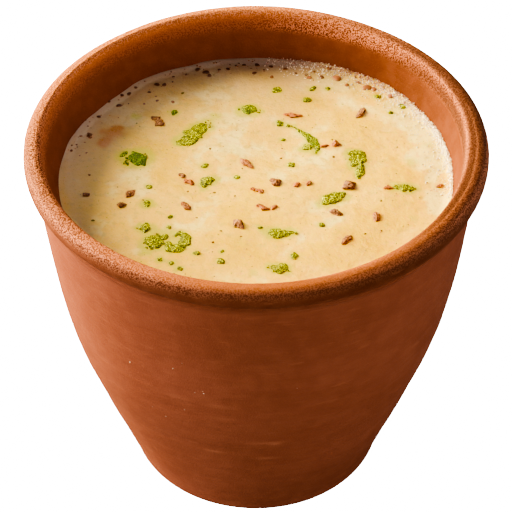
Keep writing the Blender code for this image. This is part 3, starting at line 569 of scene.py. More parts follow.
def makeDrink():
    # polar grid on the height above, carried down the wall to the floor of the cup as one closed body
    angle = np.arange(drink["segments"]) * fullTurn / drink["segments"]
    degrees = np.where(angle > math.pi, np.degrees(angle) - 360.0, np.degrees(angle))
    edge = wallRadius(degrees, drink["level"] + drink["rise"][0]) + drink["reach"] * mm
    share = np.linspace(0.0, 1.0, drink["rings"] + 1)[1:]
    radius = share[:, None] * edge[None]
    x, y = radius * np.cos(angle), radius * np.sin(angle)
    top = np.stack([x, y, drinkTop(x, y)], -1)
    heights = np.linspace(drink["level"] - 0.6, cup["floor"] + cup["floorRounding"], 9)
    floorEdge = [wallRadius(degrees, h) - 0.3 * mm + smoothStep(60.0, 68.0, h) * 0.6 * mm for h in heights]
    side = [np.stack([r * np.cos(angle), r * np.sin(angle), np.full_like(angle, h * mm)], -1)
            for r, h in zip(floorEdge, heights)]
    bottom = (cup["floor"] + 0.3) * mm
    base = [np.stack([s * floorEdge[-1] * np.cos(angle), s * floorEdge[-1] * np.sin(angle),
                      np.full_like(angle, bottom)], -1) for s in (0.9, 0.5)]
    rings = np.concatenate([top, np.array(side), np.array(base)])
    middle = np.array([[0.0, 0.0, float(drinkTop(0.0, 0.0))], [0.0, 0.0, bottom]])
    points = np.concatenate([rings.reshape(-1, 3), middle])
    quads, fans = shellFaces(1, len(rings), drink["segments"])
    flat = points[:, :2] / mm
    places = np.concatenate([flat, np.zeros((len(flat), 1))], -1)
    warp = np.stack([softNoise(places, 6.0, 41), softNoise(places, 6.0, 42), np.zeros(len(flat))], -1) * 2.2
    patches = softSpots(flat + warp[:, :2], drinkPatches) + 0.75 * layeredNoise(places + warp, 4.6, 44, 4)
    heapSpots = [(px, py, 0.6 * width + 0.6, 0.8) for heap in herbHeaps for px, py, width in heap["path"]]
    scrapSpots = [(x0, y0, 0.5 * length + 0.4, 0.75) for x0, y0, length, *rest in herbScraps]
    spiceSpots = [(x0, y0, 0.42 * length + 0.5, 0.55 + 0.35 * red) for x0, y0, length, width, turn,
                  red in cuminGrains + chilliFlakes]
    wander = flat + 0.35 * np.stack([softNoise(places, 0.8, 51), softNoise(places, 0.8, 52)], -1)
    herbTint = (np.clip(softSpots(wander, heapSpots), 0.0, 1.1) + softSpots(wander, scrapSpots)
                + softSpots(wander, sunkHerb))
    fromWall = np.clip(39.0 - np.linalg.norm(flat, axis=1), 0.0, None)
    around = np.degrees(np.arctan2(flat[:, 1], flat[:, 0]))
    # painted shadow of the wall on the drink at the left and the back, fading inwards
    paintedWallShadow = roundCurve(((-180, 0.8), (-150, 0.4), (-110, 0.0), (0, 0.0), (45, 0.1), (60, 0.35), (76, 1.15),
                       (95, 1.15), (120, 1.0), (160, 1.0)), around) * np.exp(-fromWall / 10.5)
    values = {"butter": patches, "herbTint": herbTint, "spiceTint": softSpots(wander, spiceSpots),
              "paintedWallShadow": paintedWallShadow,
              "chilliTint": softSpots(flat + warp[:, :2] * 0.35, sunkChilli)}
    return putMesh("drink_body", points, quads, fans, **values)


def restOnDrink(x, y, lift):
    # centres in metres for places given in mm, lifted above the drink by that many mm
    x, y = np.asarray(x, float) * mm, np.asarray(y, float) * mm
    return np.stack([x, y, drinkTop(x, y) + np.asarray(lift) * mm], -1)


def crumpledFlakes(draw, x, y, length, width, turn, pitch, roll, lift, thickness, crumple, **values):
    # each flake is a flat shell: along its length its width follows sin(pi u)^0.55 with lobes, round it the
    # section
    # is a thin ellipse, and its middle surface is folded along the midrib and crumpled by two crossing waves
    count, rings, sides = len(x), 12, 12
    u = ((np.arange(rings) + 0.5) / rings)[None, :, None]
    v = (np.arange(sides) * fullTurn / sides)[None, None, :]
    phase = draw.uniform(0.0, fullTurn, (4, count, 1, 1))
    lobes = 1.0 + 0.22 * np.sin(fullTurn * 2.0 * u + phase[0]) + 0.14 * np.sin(fullTurn * 4.3 * u + phase[1])
    length, width = length[:, None, None], width[:, None, None]
    halfWidth = 0.5 * width * np.sin(math.pi * u) ** 0.55 * lobes
    along = (u - 0.5) * length * np.ones_like(v)
    across = halfWidth * np.cos(v) + 0.12 * width * np.sin(fullTurn * u + phase[2])
    fold = draw.uniform(-0.9, 0.9, (count, 1, 1)) * np.abs(across)
    wave = 0.16 * length * np.sin(7.0 * along / length + phase[3]) * np.cos(4.5 * across / width + phase[0])
    curl = draw.uniform(-0.35, 0.35, (count, 1, 1)) * along**2 / length
    height = 0.5 * thickness * np.sin(v) * np.sin(math.pi * u) ** 0.3 + crumple * (0.6 * fold + wave + curl)
    shell = np.stack([along, across, height], -1)
    grain = grainRelief(shell + np.arange(count)[:, None, None, None] * 7.3, 0.30, 81)
    shell[..., 2] += 0.10 * grain * np.sign(np.sin(v) + 0.01)
    ends = np.stack([np.stack([side * 0.5 * length[:, 0, 0], across[:, k].mean(axis=1),
                               height[:, k].mean(axis=1)], -1) for side, k in ((-1, 0), (1, -1))], 1)
    flatGrain = np.concatenate([grain.reshape(count, -1), np.zeros((count, 2))], 1)
    return shellPart(shell, ends, restOnDrink(x, y, lift), turnMatrices(turn, pitch, roll), grain=flatGrain,
                     **values)


def heapPart(heaps, rings, sides, seed):
    # a heap is an ellipse carried along a curve: its width follows the path's own widths and closes by sin(pi
    # u)^0.3
    # at the ends, and its skin is pushed out by small grains and soft lumps
    u = (np.arange(rings) + 0.5) / rings
    v = np.arange(sides) * fullTurn / sides
    shells, tips, greens = [], [], []
    for heap in heaps:
        path = np.array(heap["path"], float)
        at = np.linspace(0.0, len(path) - 1.0, rings + 2)
        x, y, width = (curveThrough(np.stack([np.arange(len(path)), path[:, k]], -1), at) for k in range(3))
        slopeX, slopeY = np.gradient(x), np.gradient(y)
        run = np.hypot(slopeX, slopeY)
        ragged = 1.0 + herb["ragged"] * softNoise(
            np.stack([x[1:-1], y[1:-1], np.zeros(rings)], -1), 0.7, seed + 2)
        half = 0.66 * np.clip(width[1:-1], 0.3, None) * np.sin(math.pi * u) ** 0.3 * ragged
        tall = (herb["height"] + herb["heightByWidth"] * width[1:-1]) * np.sin(math.pi * u) ** 0.3
        outward = np.stack([-(slopeY / run)[1:-1, None] * np.cos(v), (slopeX / run)[1:-1, None] * np.cos(v),
                            np.sin(v) * np.ones((rings, 1))], -1)
        shell = outward * np.stack([half, half, tall], -1)[:, None, :]
        shell += np.stack([x[1:-1], y[1:-1], np.zeros(rings)], -1)[:, None, :]
        shells.append((shell, outward))
        tips.append(np.stack([x[[0, -1]], y[[0, -1]], np.zeros(2)], -1))
        greens.append(heap["green"])
    shell, outward = (np.stack([pair[k] for pair in shells]) for k in (0, 1))
    tips = np.stack(tips)
    grain = grainRelief(shell, herb["grain"], seed)
    lump = softNoise(shell, 0.9, seed + 5)
    shell = shell + outward * (herb["grainHeight"] * grain + 0.13 * lump)[..., None]
    ground = drinkTop(shell[..., 0] * mm, shell[..., 1] * mm) / mm
    shell[..., 2] += ground + 0.02
    tips[..., 2] += drinkTop(tips[..., 0] * mm, tips[..., 1] * mm) / mm
    count = len(heaps)
    green = np.clip(np.array(greens)[:, None, None] + 0.20 * softNoise(shell, 0.8, seed + 9), 0.0, 1.0)
    flat = {k: np.concatenate([w.reshape(count, -1), np.zeros((count, 2))], 1)
            for k, w in (("grain", grain), ("green", green))}
    still = np.broadcast_to(np.eye(3), (count, 3, 3))
    return shellPart(shell, tips, np.zeros((count, 3)), still, **flat)


def makeHerb():
    # heaps, single scraps, and small loose flakes scattered on and beside the heaps
    draw = np.random.default_rng(11)
    scraps = []
    for x, y, length, width, turn, green in herbScraps:
        dx, dy = 0.42 * length * math.cos(math.radians(turn)), 0.42 * length * math.sin(math.radians(turn))
        scraps.append({"path": ((x - dx, y - dy, 0.7 * width), (x, y, width),
                                (x + dx, y + dy, 0.75 * width)), "green": green})
    spots = np.array([(x, y, width, heap["green"]) for heap in herbHeaps for x, y, width in heap["path"]])
    spot = spots[draw.choice(len(spots), herb["looseFlakes"], p=spots[:, 2] / spots[:, 2].sum())]
    n, turn = len(spot), draw.uniform(0.0, fullTurn, len(spot))
    away = 0.5 * spot[:, 2] * draw.uniform(0.55, 1.15, n)
    length = draw.uniform(0.35, 0.8, n)
    flakes = crumpledFlakes(draw, spot[:, 0] + away * np.cos(turn), spot[:, 1] + away * np.sin(turn),
                            length, length * draw.uniform(0.4, 0.75, n), draw.uniform(0, fullTurn, n),
                            draw.normal(0.0, 0.2, n), draw.normal(0.0, 0.35, n),
                            draw.uniform(0.02, 0.14, n), 0.14, 0.8,
                            green=np.clip(spot[:, 3] + draw.normal(0.0, 0.2, n), 0.0, 1.0)[:, None])
    return putParts("chopped_herb", [heapPart(herbHeaps, 84, 52, 83), heapPart(scraps, 24, 20, 91), flakes])


def makeChilli():
    draw = np.random.default_rng(23)
    x, y, length, width, turn, red = np.array(chilliFlakes, float).T
    n = len(x)
    flakes = crumpledFlakes(draw, x, y, length, width, np.radians(turn), draw.normal(0.0, 0.06, n),
                            draw.normal(0.0, 0.12, n),
                            draw.uniform(0.04, 0.10, n), 0.42, 0.22, red=red[:, None])
    return putParts("chilli_flakes", [flakes])


def makeCumin():
    # each grain is a spindle: radius sin(pi u)^0.7, with seven ribs round it, a bend and a grainy crust
    draw = np.random.default_rng(37)
    x, y, length, width, turn, red = np.array(cuminGrains, float).T
    count, rings, sides = len(x), 26, 40
    u = ((np.arange(rings) + 0.5) / rings)[None, :, None]
    v = (np.arange(sides) * fullTurn / sides)[None, None, :]
    swell = (np.sin(math.pi * u) ** 0.7 * (1.0 + 0.09 * np.cos(7.0 * v + 1.5 * u))
             * (1.0 + 0.15 * np.sin(9.0 * u + draw.uniform(0, 6, (count, 1, 1)))))
    along = (u - 0.5) * length[:, None, None] * np.ones_like(v)
    radius = 0.5 * width[:, None, None] * swell
    bend = draw.uniform(-0.5, 0.5, (count, 1, 1)) * (u - 0.5) ** 2 * width[:, None, None]
    shell = np.stack([along, radius * np.cos(v) + bend, 0.45 * radius * np.sin(v)], -1)
    ownPlaces = shell + np.arange(count)[:, None, None, None] * 9.7
    grain = grainRelief(ownPlaces, 0.34, 61)
    shell[..., 1:] *= (1.0 + 0.42 * grain + 0.12 * softNoise(ownPlaces, 0.6, 61))[..., None]
    tips = np.stack([np.stack([side * 0.52 * length, 0.25 * bend[:, 0, 0], 0.0 * length], -1)
                     for side in (-1.0, 1.0)], 1)
    matrices = turnMatrices(np.radians(turn), draw.normal(0.0, 0.04, count), draw.normal(0.0, 0.2, count))
    flatGrain = np.concatenate([grain.reshape(count, -1), np.zeros((count, 2))], 1)
    return putParts("roasted_cumin",
                    [shellPart(shell, tips, restOnDrink(x, y, 0.04), matrices, red=red[:, None],
                               grain=flatGrain)])


def domes(name, x, y, z, size, squash, rings, sides, uneven=0.0, **values):
    # each dome is a closed ball squashed in height, its rings at equal polar angles, with two lobes round it
    polar = (math.pi * (np.arange(rings) + 1) / (rings + 1))[None, :, None]
    v = (np.arange(sides) * fullTurn / sides)[None, None, :]
    phase = np.arange(len(size))[:, None, None] * 2.4
    radius = 0.5 * size[:, None, None] * (1.0 + uneven * np.sin(2.0 * v + phase)
                                          + 0.6 * uneven * np.sin(3.0 * v + 2.0 * phase))
    shape = np.stack([radius * np.sin(polar) * np.cos(v), radius * np.sin(polar) * np.sin(v),
                      -squash * 0.5 * size[:, None, None] * np.cos(polar) * np.ones_like(v)], -1)
    poles = np.stack([np.stack([0 * size, 0 * size, s * squash * 0.5 * size], -1) for s in (-1.0, 1.0)], 1)
    centres = np.stack([x, y, z], -1) * mm
    still = np.broadcast_to(np.eye(3), (len(size), 3, 3))
    return putParts(name, [shellPart(shape, poles, centres, still, **values)])


def makeFroth():
    # fine bubbles thick along the wall and thinning inwards by an exponential fall, some climbing the clay
    draw = np.random.default_rng(53)
    n = 4000
    degrees = (drink["frothFrom"] - 6.0
               + (drink["frothTo"] - drink["frothFrom"] + 20.0) * draw.beta(1.35, 1.6, n))
    thick = smoothStep(15.0, 50.0, degrees)
    away = draw.exponential(0.50 + 0.45 * thick, n)
    loose = draw.uniform(0.0, 1.0, n) < 0.08
    away = np.where(loose, draw.uniform(0.0, 5.5, n), away)
    size = np.clip(draw.gamma(4.0, 0.045, n), 0.10, 0.42)
    wall = wallRadius(degrees, drink["level"] + 0.4) / mm
    radius = wall - away
    x, y = radius * np.cos(np.radians(degrees)), radius * np.sin(np.radians(degrees))
    climbs = away < 0.25
    up = np.where(climbs, np.abs(draw.normal(0.0, 0.09, n)), 0.0)
    z = drinkTop(x * mm, y * mm) / mm + 0.10 * size + up
    outer = wallRadius(degrees, np.minimum(z, 74.0)) / mm
    pull = np.where(climbs & (up > 0.1), (outer - 0.05) / np.hypot(x, y), 1.0)
    # dark is painted shade: on some bubbles at random, and more near the wall and at the back
    return domes("froth", x * pull, y * pull, z, size, 0.95, 3, 6,
                 dark=((draw.beta(0.9, 1.7, n) + 0.4 * thick) * np.exp(-away / (0.8 + 2.0 * thick)))[:, None])


def makeWallBubbles():
    # the bubbles named above, and tiny ones strewn along the wall between them by a seeded rule
    draw = np.random.default_rng(59)
    x, y, size, dark = np.array(wallBubbles, float).T
    n = 70
    degrees = draw.uniform(82.0, 170.0, n)
    radius = wallRadius(degrees, drink["level"]) / mm - 0.3 - draw.exponential(1.4, n)
    x = np.concatenate([x, radius * np.cos(np.radians(degrees))])
    y = np.concatenate([y, radius * np.sin(np.radians(degrees))])
    size = np.concatenate([size * draw.uniform(0.7, 1.05, len(size)), draw.uniform(0.2, 0.5, n)])
    dark = np.concatenate([dark, draw.uniform(0.2, 0.9, n)])
    z = drinkTop(x * mm, y * mm) / mm + 0.01
    rings, sides = 9, 18
    crown = np.concatenate([np.repeat(np.clip(-np.cos(math.pi * (np.arange(rings) + 1) / (rings + 1)), 0.0,
                                              1.0), sides), [0.0, 1.0]])
    return domes("wall_bubbles", x, y, z, size, 0.4, rings, sides, 0.13, dark=dark[:, None],
                 crown=crown[None])


def makePepper():
    # the specks named above, and as many again by a seeded rule; each a small uneven lump
    draw = np.random.default_rng(67)
    known = np.array(pepperSpecks, float)
    extra = 24
    radius, angle = 35.0 * np.sqrt(draw.uniform(0, 1, extra)), draw.uniform(0, fullTurn, extra)
    x = np.concatenate([known[:, 0], radius * np.cos(angle)])
    y = np.concatenate([known[:, 1], radius * np.sin(angle)])
    size = np.concatenate([draw.uniform(0.5, 0.75, len(known)), draw.uniform(0.3, 0.5, extra)])
    z = drinkTop(x * mm, y * mm) / mm - 0.04
    return domes("ground_pepper", x, y, z, size, 0.45, 4, 9, 0.16, shade=draw.uniform(0, 1, len(x))[:, None])


def makeDust():
    # spice ground fine, all over the top: faint olive, tan and brown specks
    draw = np.random.default_rng(71)
    n = 420
    radius, angle = 38.0 * np.sqrt(draw.uniform(0, 1, n)), draw.uniform(0, fullTurn, n)
    x, y = radius * np.cos(angle), radius * np.sin(angle)
    size = draw.uniform(0.16, 0.42, n)
    z = drinkTop(x * mm, y * mm) / mm - 0.04
    return domes("spice_dust", x, y, z, size, 0.5, 3, 7, 0.18, shade=draw.uniform(0, 1, n)[:, None])


# White lime flecks fired into the outside of the wall: degrees, height
limeFlecks = (
    (-112.6, 53.3), (-109.8, 55.6), (-104.6, 48.3), (-104.4, 47.7), (-107.0, 47.4), (-78.9, 49.9),
    (-126.8, 49.8), (-111.0, 40.7), (-122.2, 37.6),
    (-118.1, 35.9), (20.0, 44.0), (58.0, 52.0), (131.0, 30.0), (96.0, 61.0), (160.0, 47.0),
)


def makeLimeFlecks():
    draw = np.random.default_rng(73)
    degrees, height = np.array(limeFlecks, float).T
    radius = curveThrough(cup["body"], height) + 0.02
    angle = np.radians(degrees)
    size = draw.uniform(0.13, 0.27, len(angle))
    return domes("lime_flecks", radius * np.cos(angle), radius * np.sin(angle), height, size, 0.8, 4, 7)


# Node helpers and shared effects


def addNode(tree, kind, inputs=None, **settings):
    # one node with its settings; each input is a value or another node's socket
    made = tree.nodes.new(kind)
    for label, value in settings.items():
        setattr(made, label, value)
    for label, value in (inputs or {}).items():
        if isinstance(value, bpy.types.NodeSocket):
            tree.links.new(value, made.inputs[label])
        else:
            made.inputs[label].default_value = value
    return made


def mathNode(tree, operation, first, second=0.0, clamp=False):
    return addNode(tree, "ShaderNodeMath", {0: first, 1: second}, operation=operation,
                   use_clamp=clamp).outputs[0]


def ramp(tree, value, low, high, toLow=0.0, toHigh=1.0):
    inputs = {"Value": value, "From Min": low, "From Max": high, "To Min": toLow, "To Max": toHigh}
    return addNode(tree, "ShaderNodeMapRange", inputs, interpolation_type="SMOOTHSTEP").outputs[0]


def mixColour(tree, share, first, second, blend="MIX"):
    first = (*first, 1.0) if isinstance(first, tuple) else first
    second = (*second, 1.0) if isinstance(second, tuple) else second
    return addNode(tree, "ShaderNodeMix", {0: share, 6: first, 7: second}, data_type="RGBA",
                   blend_type=blend).outputs[2]


def readValue(tree, label):
    return addNode(tree, "ShaderNodeAttribute", attribute_name=label).outputs["Fac"]


def newGroup(name, inputs, outputs):
    group = bpy.data.node_groups.new(name, "ShaderNodeTree")
    for label, kind, value in inputs:
        socket = group.interface.new_socket(label, in_out="INPUT", socket_type=kind)
        if value is not None:
            socket.default_value = value
    for label, kind in outputs:
        group.interface.new_socket(label, in_out="OUTPUT", socket_type=kind)
    return group, addNode(group, "NodeGroupInput").outputs, addNode(group, "NodeGroupOutput")


def useGroup(tree, group, inputs):
    made = addNode(tree, "ShaderNodeGroup", node_tree=group)
    for label, value in inputs.items():
        if isinstance(value, bpy.types.NodeSocket):
            tree.links.new(value, made.inputs[label])
        else:
            made.inputs[label].default_value = value
    return made.outputs


def makeBlotchGroup():
    # soft cloudy mask: noise of a given size, steepened between two levels
    group, given, out = newGroup("cloudy blotches",
                                 [("Vector", "NodeSocketVector", None), ("Size", "NodeSocketFloat", 0.01),
                                 ("Low", "NodeSocketFloat", 0.35), ("High", "NodeSocketFloat", 0.65),
                                 ("Detail", "NodeSocketFloat", 3.0)], [("Mask", "NodeSocketFloat")])
    scale = mathNode(group, "DIVIDE", 1.0, given["Size"])
    noise = addNode(group, "ShaderNodeTexNoise", {"Vector": given["Vector"], "Scale": scale,
            "Detail": given["Detail"], "Roughness": 0.55})
    inputs = {"Value": noise.outputs[0], "From Min": given["Low"], "From Max": given["High"]}
    mask = addNode(group, "ShaderNodeMapRange", inputs, interpolation_type="SMOOTHSTEP").outputs[0]
    group.links.new(mask, out.inputs["Mask"])
    return group


def makeGritGroup():
    # sandy grain: sharp noise with rounded cells over it, as a light and dark speckle and as a height
    group, given, out = newGroup("sandy grit", [("Vector", "NodeSocketVector", None),
                                                ("Size", "NodeSocketFloat", 0.0004),
                              ("Contrast", "NodeSocketFloat", 1.0), ("Detail", "NodeSocketFloat", 2.0)],
                                 [("Speckle", "NodeSocketFloat"), ("Height", "NodeSocketFloat"),
                                  ("Pits", "NodeSocketFloat")])
    scale = mathNode(group, "DIVIDE", 1.0, given["Size"])
    noise = addNode(group, "ShaderNodeTexNoise", {"Vector": given["Vector"], "Scale": scale,
            "Detail": given["Detail"], "Roughness": 0.6}).outputs[0]
    cells = addNode(group, "ShaderNodeTexVoronoi",
                    {"Vector": given["Vector"],
                     "Scale": mathNode(group, "MULTIPLY", scale, 0.75)}).outputs["Distance"]
    centred = mathNode(group, "MULTIPLY", mathNode(group, "SUBTRACT", noise, 0.5),
                       mathNode(group, "MULTIPLY", given["Contrast"], 2.4))
    group.links.new(mathNode(group, "ADD", centred, 0.5, clamp=True), out.inputs["Speckle"])
    height = mathNode(group, "SUBTRACT", noise, mathNode(group, "MULTIPLY", cells, 0.45))
    group.links.new(height, out.inputs["Height"])
    sparse = addNode(group, "ShaderNodeTexVoronoi",
                     {"Vector": given["Vector"],
                      "Scale": mathNode(group, "MULTIPLY", scale, 0.22)}).outputs["Distance"]
    group.links.new(ramp(group, sparse, 0.20, 0.10), out.inputs["Pits"])
    return group


def newMaterial(name, roughness, specular=0.5):
    material = bpy.data.materials.new(name)
    material.use_nodes = True
    tree = material.node_tree
    shader = tree.nodes["Principled BSDF"]
    shader.inputs["Roughness"].default_value = roughness
    shader.inputs["Specular IOR Level"].default_value = specular
    place = addNode(tree, "ShaderNodeTexCoord").outputs["Object"]
    return material, tree, shader.inputs, place


def bump(tree, height, depth, normal=None):
    inputs = {"Height": height, "Distance": depth, "Strength": 1.0}
    if normal is not None:
        inputs["Normal"] = normal
    return addNode(tree, "ShaderNodeBump", inputs).outputs[0]


clay = {
    "fired": (0.252, 0.076, 0.040),
    "deep": (0.195, 0.053, 0.024),
    "pale": (0.430, 0.155, 0.080),
    # dark tone for painted shade and for dark pits in the grit
    "dark": (0.105, 0.028, 0.009),
    "sandy": (0.600, 0.222, 0.110),
    # colour of the painted light on the crest at the back
    "paintedBackCrestLight": (0.640, 0.245, 0.115),
    # colour of the painted light on the crest
    "paintedCrestLight": (0.600, 0.170, 0.030),
    "lining": (0.255, 0.074, 0.027),
    # grit and deepest tone where the painted shade is strongest
    "shadedSand": (0.300, 0.110, 0.058),
    "deepestShade": (0.048, 0.013, 0.004),
    "pit": (0.080, 0.022, 0.008),
    "sandSize": 0.00025,
    "sandDepth": 0.00011,
    "roughness": 0.78,
}


def makeClay(blotch, grit):
    material, tree, shader, place = newMaterial("fired clay", clay["roughness"], 0.10)
    sand, scuff, paintedCrestLight, paintedShade, inside = (readValue(tree, label)
                                          for label in ("sand", "scuff", "paintedCrestLight", "paintedShade", "inside"))
    stretched = addNode(tree, "ShaderNodeMapping", {"Vector": place, "Scale": (0.14, 0.14, 1.0)}).outputs[0]
    cloud = useGroup(tree, blotch, {"Vector": place, "Size": 0.016, "Low": 0.34, "High": 0.68})["Mask"]
    smallCloud = useGroup(tree, blotch, {"Vector": place, "Size": 0.0035, "Low": 0.38, "High": 0.66})["Mask"]
    brushed = useGroup(tree, blotch, {"Vector": stretched, "Size": 0.0013, "Low": 0.30, "High": 0.72,
                                      "Detail": 4.0})["Mask"]
    streaks = useGroup(tree, blotch, {"Vector": stretched, "Size": 0.0008, "Low": 0.62, "High": 0.74,
                                      "Detail": 2.0})["Mask"]
    fine = useGroup(tree, grit, {"Vector": place, "Size": 0.00030, "Contrast": 0.9})
    coarse = useGroup(tree, grit, {"Vector": place, "Size": clay["sandSize"], "Contrast": 2.0, "Detail": 0.5})
    colour = mixColour(tree, mathNode(tree, "MULTIPLY", cloud, 0.35), clay["fired"], clay["deep"])
    colour = mixColour(tree, mathNode(tree, "MULTIPLY", inside, 0.85), colour, clay["lining"])
    # painted shade: darker inside, under the rim, at the foot and over the rim at the right
    colour = mixColour(tree, mathNode(tree, "MULTIPLY", paintedShade, 0.85), colour, clay["dark"])
    # painted light: paler colour on the up-facing crest
    colour = mixColour(tree, mathNode(tree, "MULTIPLY", paintedCrestLight, 0.8), colour, clay["paintedCrestLight"])
    colour = mixColour(tree, mathNode(tree, "MULTIPLY", smallCloud, 0.10), colour, clay["pale"])
    colour = mixColour(tree, mathNode(tree, "MULTIPLY", brushed, 0.22), colour, clay["deep"])
    colour = mixColour(tree, mathNode(tree, "MULTIPLY", ramp(tree, fine["Speckle"], 0.55, 0.95), 0.12),
                       colour, clay["pale"])
    # deepest painted shade over the rim at the right
    colour = mixColour(tree, ramp(tree, paintedShade, 1.0, 1.6, 0.0, 0.7), colour, clay["deepestShade"])
    # grit darker where painted shade lies
    grainTone = mixColour(tree, ramp(tree, paintedShade, 0.35, 1.5), clay["sandy"], clay["shadedSand"])
    # grit paler where painted light is added on the crest at the back
    grainTone = mixColour(tree, ramp(tree, sand, 1.0, 1.6), grainTone, clay["paintedBackCrestLight"])
    # fewer pale grains where painted shade lies
    spread = mathNode(tree, "MULTIPLY", sand, ramp(tree, paintedShade, 0.4, 1.5, 1.0, 0.50))
    light = mathNode(tree, "MULTIPLY", ramp(tree, coarse["Speckle"], 0.42, 0.70, 0.10, 0.90), spread)
    # an even share of pale grit where sand passes 1, mostly the painted light at the back
    light = mathNode(tree, "MAXIMUM", light, ramp(tree, sand, 1.0, 1.7, 0.0, 0.25))
    # fewer dark grains where the crest carries painted light
    offCrestLight = mathNode(tree, "SUBTRACT", 1.0, mathNode(tree, "MULTIPLY", paintedCrestLight, 0.9), clamp=True)
    shade = mathNode(tree, "MULTIPLY", ramp(tree, coarse["Speckle"], 0.38, 0.10, 0.0, 0.85),
                     mathNode(tree, "MULTIPLY", mathNode(tree, "MINIMUM", sand, 0.9), offCrestLight))
    colour = mixColour(tree, light, colour, grainTone)
    colour = mixColour(tree, shade, colour, clay["pit"])
    pits = mathNode(tree, "MULTIPLY", coarse["Pits"],
                    mathNode(tree, "ADD",
                             mathNode(tree, "MULTIPLY", mathNode(tree, "MINIMUM", sand, 0.9), 0.35),
                             0.06))
    colour = mixColour(tree, pits, colour, clay["dark"])
    # pale scuffs where the slip is rubbed, and faint pale streaks outside along the throwing marks, partly
    # painted highlight of their lit ridges
    scuffsAndStreakHighlights = mathNode(tree, "MULTIPLY", scuff, mathNode(tree, "ADD",
            mathNode(tree, "MULTIPLY", brushed, 0.6), 0.25), clamp=True)
    scuffsAndStreakHighlights = mathNode(tree, "MAXIMUM", scuffsAndStreakHighlights, mathNode(tree, "MULTIPLY", streaks,
            mathNode(tree, "SUBTRACT", 0.16, mathNode(tree, "MULTIPLY", inside, 0.16))))
    colour = mixColour(tree, scuffsAndStreakHighlights, colour, clay["pale"])
    tree.links.new(colour, shader["Base Color"])
    tree.links.new(ramp(tree, fine["Speckle"], 0.0, 1.0, clay["roughness"] - 0.14,
                        clay["roughness"] + 0.12), shader["Roughness"])
    normal = bump(tree, fine["Height"], 0.000045)
    normal = bump(tree, brushed, 0.00005, normal)
    rough = mathNode(tree, "MULTIPLY", coarse["Height"],
                     mathNode(tree, "ADD", mathNode(tree, "MULTIPLY", sand, 1.0), 0.10))
    normal = bump(tree, mathNode(tree, "SUBTRACT", rough, mathNode(tree, "MULTIPLY", pits, 0.5)),
                  clay["sandDepth"], normal)
    tree.links.new(normal, shader["Normal"])
    return material


cream = {
    "plain": (0.945, 0.570, 0.056),
    "milky": (0.975, 0.720, 0.210),
    "butter": (0.875, 0.520, 0.014),
    "herb": (0.560, 0.470, 0.020),
    "mark": (0.660, 0.430, 0.050),
    "crumb": (0.840, 0.400, 0.150),
    "spice": (0.800, 0.300, 0.060),
    "chilli": (0.560, 0.205, 0.020),
    # colour of the painted wall shadow
    "paintedWallShadow": (0.465, 0.295, 0.200),
    "roughness": 0.34,
}


def makeCream(blotch, grit):
    material, tree, shader, place = newMaterial("grain drink", cream["roughness"], 0.45)
    butter, herbTint, spiceTint, chilliTint, paintedWallShadow = (readValue(tree, label)
            for label in ("butter", "herbTint", "spiceTint", "chilliTint", "paintedWallShadow"))
    cloud = useGroup(tree, blotch, {"Vector": place, "Size": 0.0022, "Low": 0.30, "High": 0.70})["Mask"]
    flour = useGroup(tree, grit, {"Vector": place, "Size": 0.00036, "Contrast": 1.0})
    level = mathNode(tree, "ADD", butter,
                     mathNode(tree, "MULTIPLY", mathNode(tree, "SUBTRACT", cloud, 0.5), 0.45))
    colour = mixColour(tree, ramp(tree, level, 0.05, 0.95), cream["plain"], cream["butter"])
    colour = mixColour(tree, ramp(tree, level, 0.0, -0.8), colour, cream["milky"])
    colour = mixColour(tree, mathNode(tree, "MULTIPLY", ramp(tree, flour["Speckle"], 0.60, 1.0), 0.22),
                       colour, cream["milky"])
    marks = useGroup(tree, blotch, {"Vector": place, "Size": 0.0015, "Low": 0.55, "High": 0.66,
                                    "Detail": 2.0})["Mask"]
    crumbs = useGroup(tree, blotch, {"Vector": place, "Size": 0.0009, "Low": 0.58, "High": 0.68,
                                     "Detail": 2.0})["Mask"]
    colour = mixColour(tree, mathNode(tree, "MULTIPLY", marks, 0.45), colour, cream["mark"])
    colour = mixColour(tree, mathNode(tree, "MULTIPLY", crumbs, 0.30), colour, cream["crumb"])
    # painted shadow of the wall near the left and back edge
    colour = mixColour(tree, paintedWallShadow, colour, cream["paintedWallShadow"])
    colour = mixColour(tree, mathNode(tree, "MULTIPLY", ramp(tree, herbTint, 0.05, 1.0), 0.85), colour,
                       cream["herb"])
    colour = mixColour(tree, mathNode(tree, "MULTIPLY", ramp(tree, spiceTint, 0.05, 1.2), 0.60), colour,
                       cream["spice"])
    colour = mixColour(tree, mathNode(tree, "MULTIPLY", ramp(tree, chilliTint, 0.05, 0.9), 0.90), colour,
                       cream["chilli"])
    tree.links.new(colour, shader["Base Color"])
    tree.links.new(ramp(tree, flour["Speckle"], 0.0, 1.0, cream["roughness"] - 0.08,
                        cream["roughness"] + 0.14), shader["Roughness"])
    shader["Subsurface Weight"].default_value = 0.25
    shader["Subsurface Radius"].default_value = (1.0, 0.6, 0.3)
    shader["Subsurface Scale"].default_value = 0.0012
    normal = bump(tree, flour["Height"], 0.000035)
    tree.links.new(bump(tree, cloud, 0.00006, normal), shader["Normal"])
    return material


# light is the colour of painted highlights and olive of painted shade in the hollows
herbLook = {"deep": (0.105, 0.205, 0.004), "leaf": (0.250, 0.240, 0.004), "light": (0.830, 0.800, 0.050),
            "olive": (0.050, 0.050, 0.002), "roughness": 0.5}


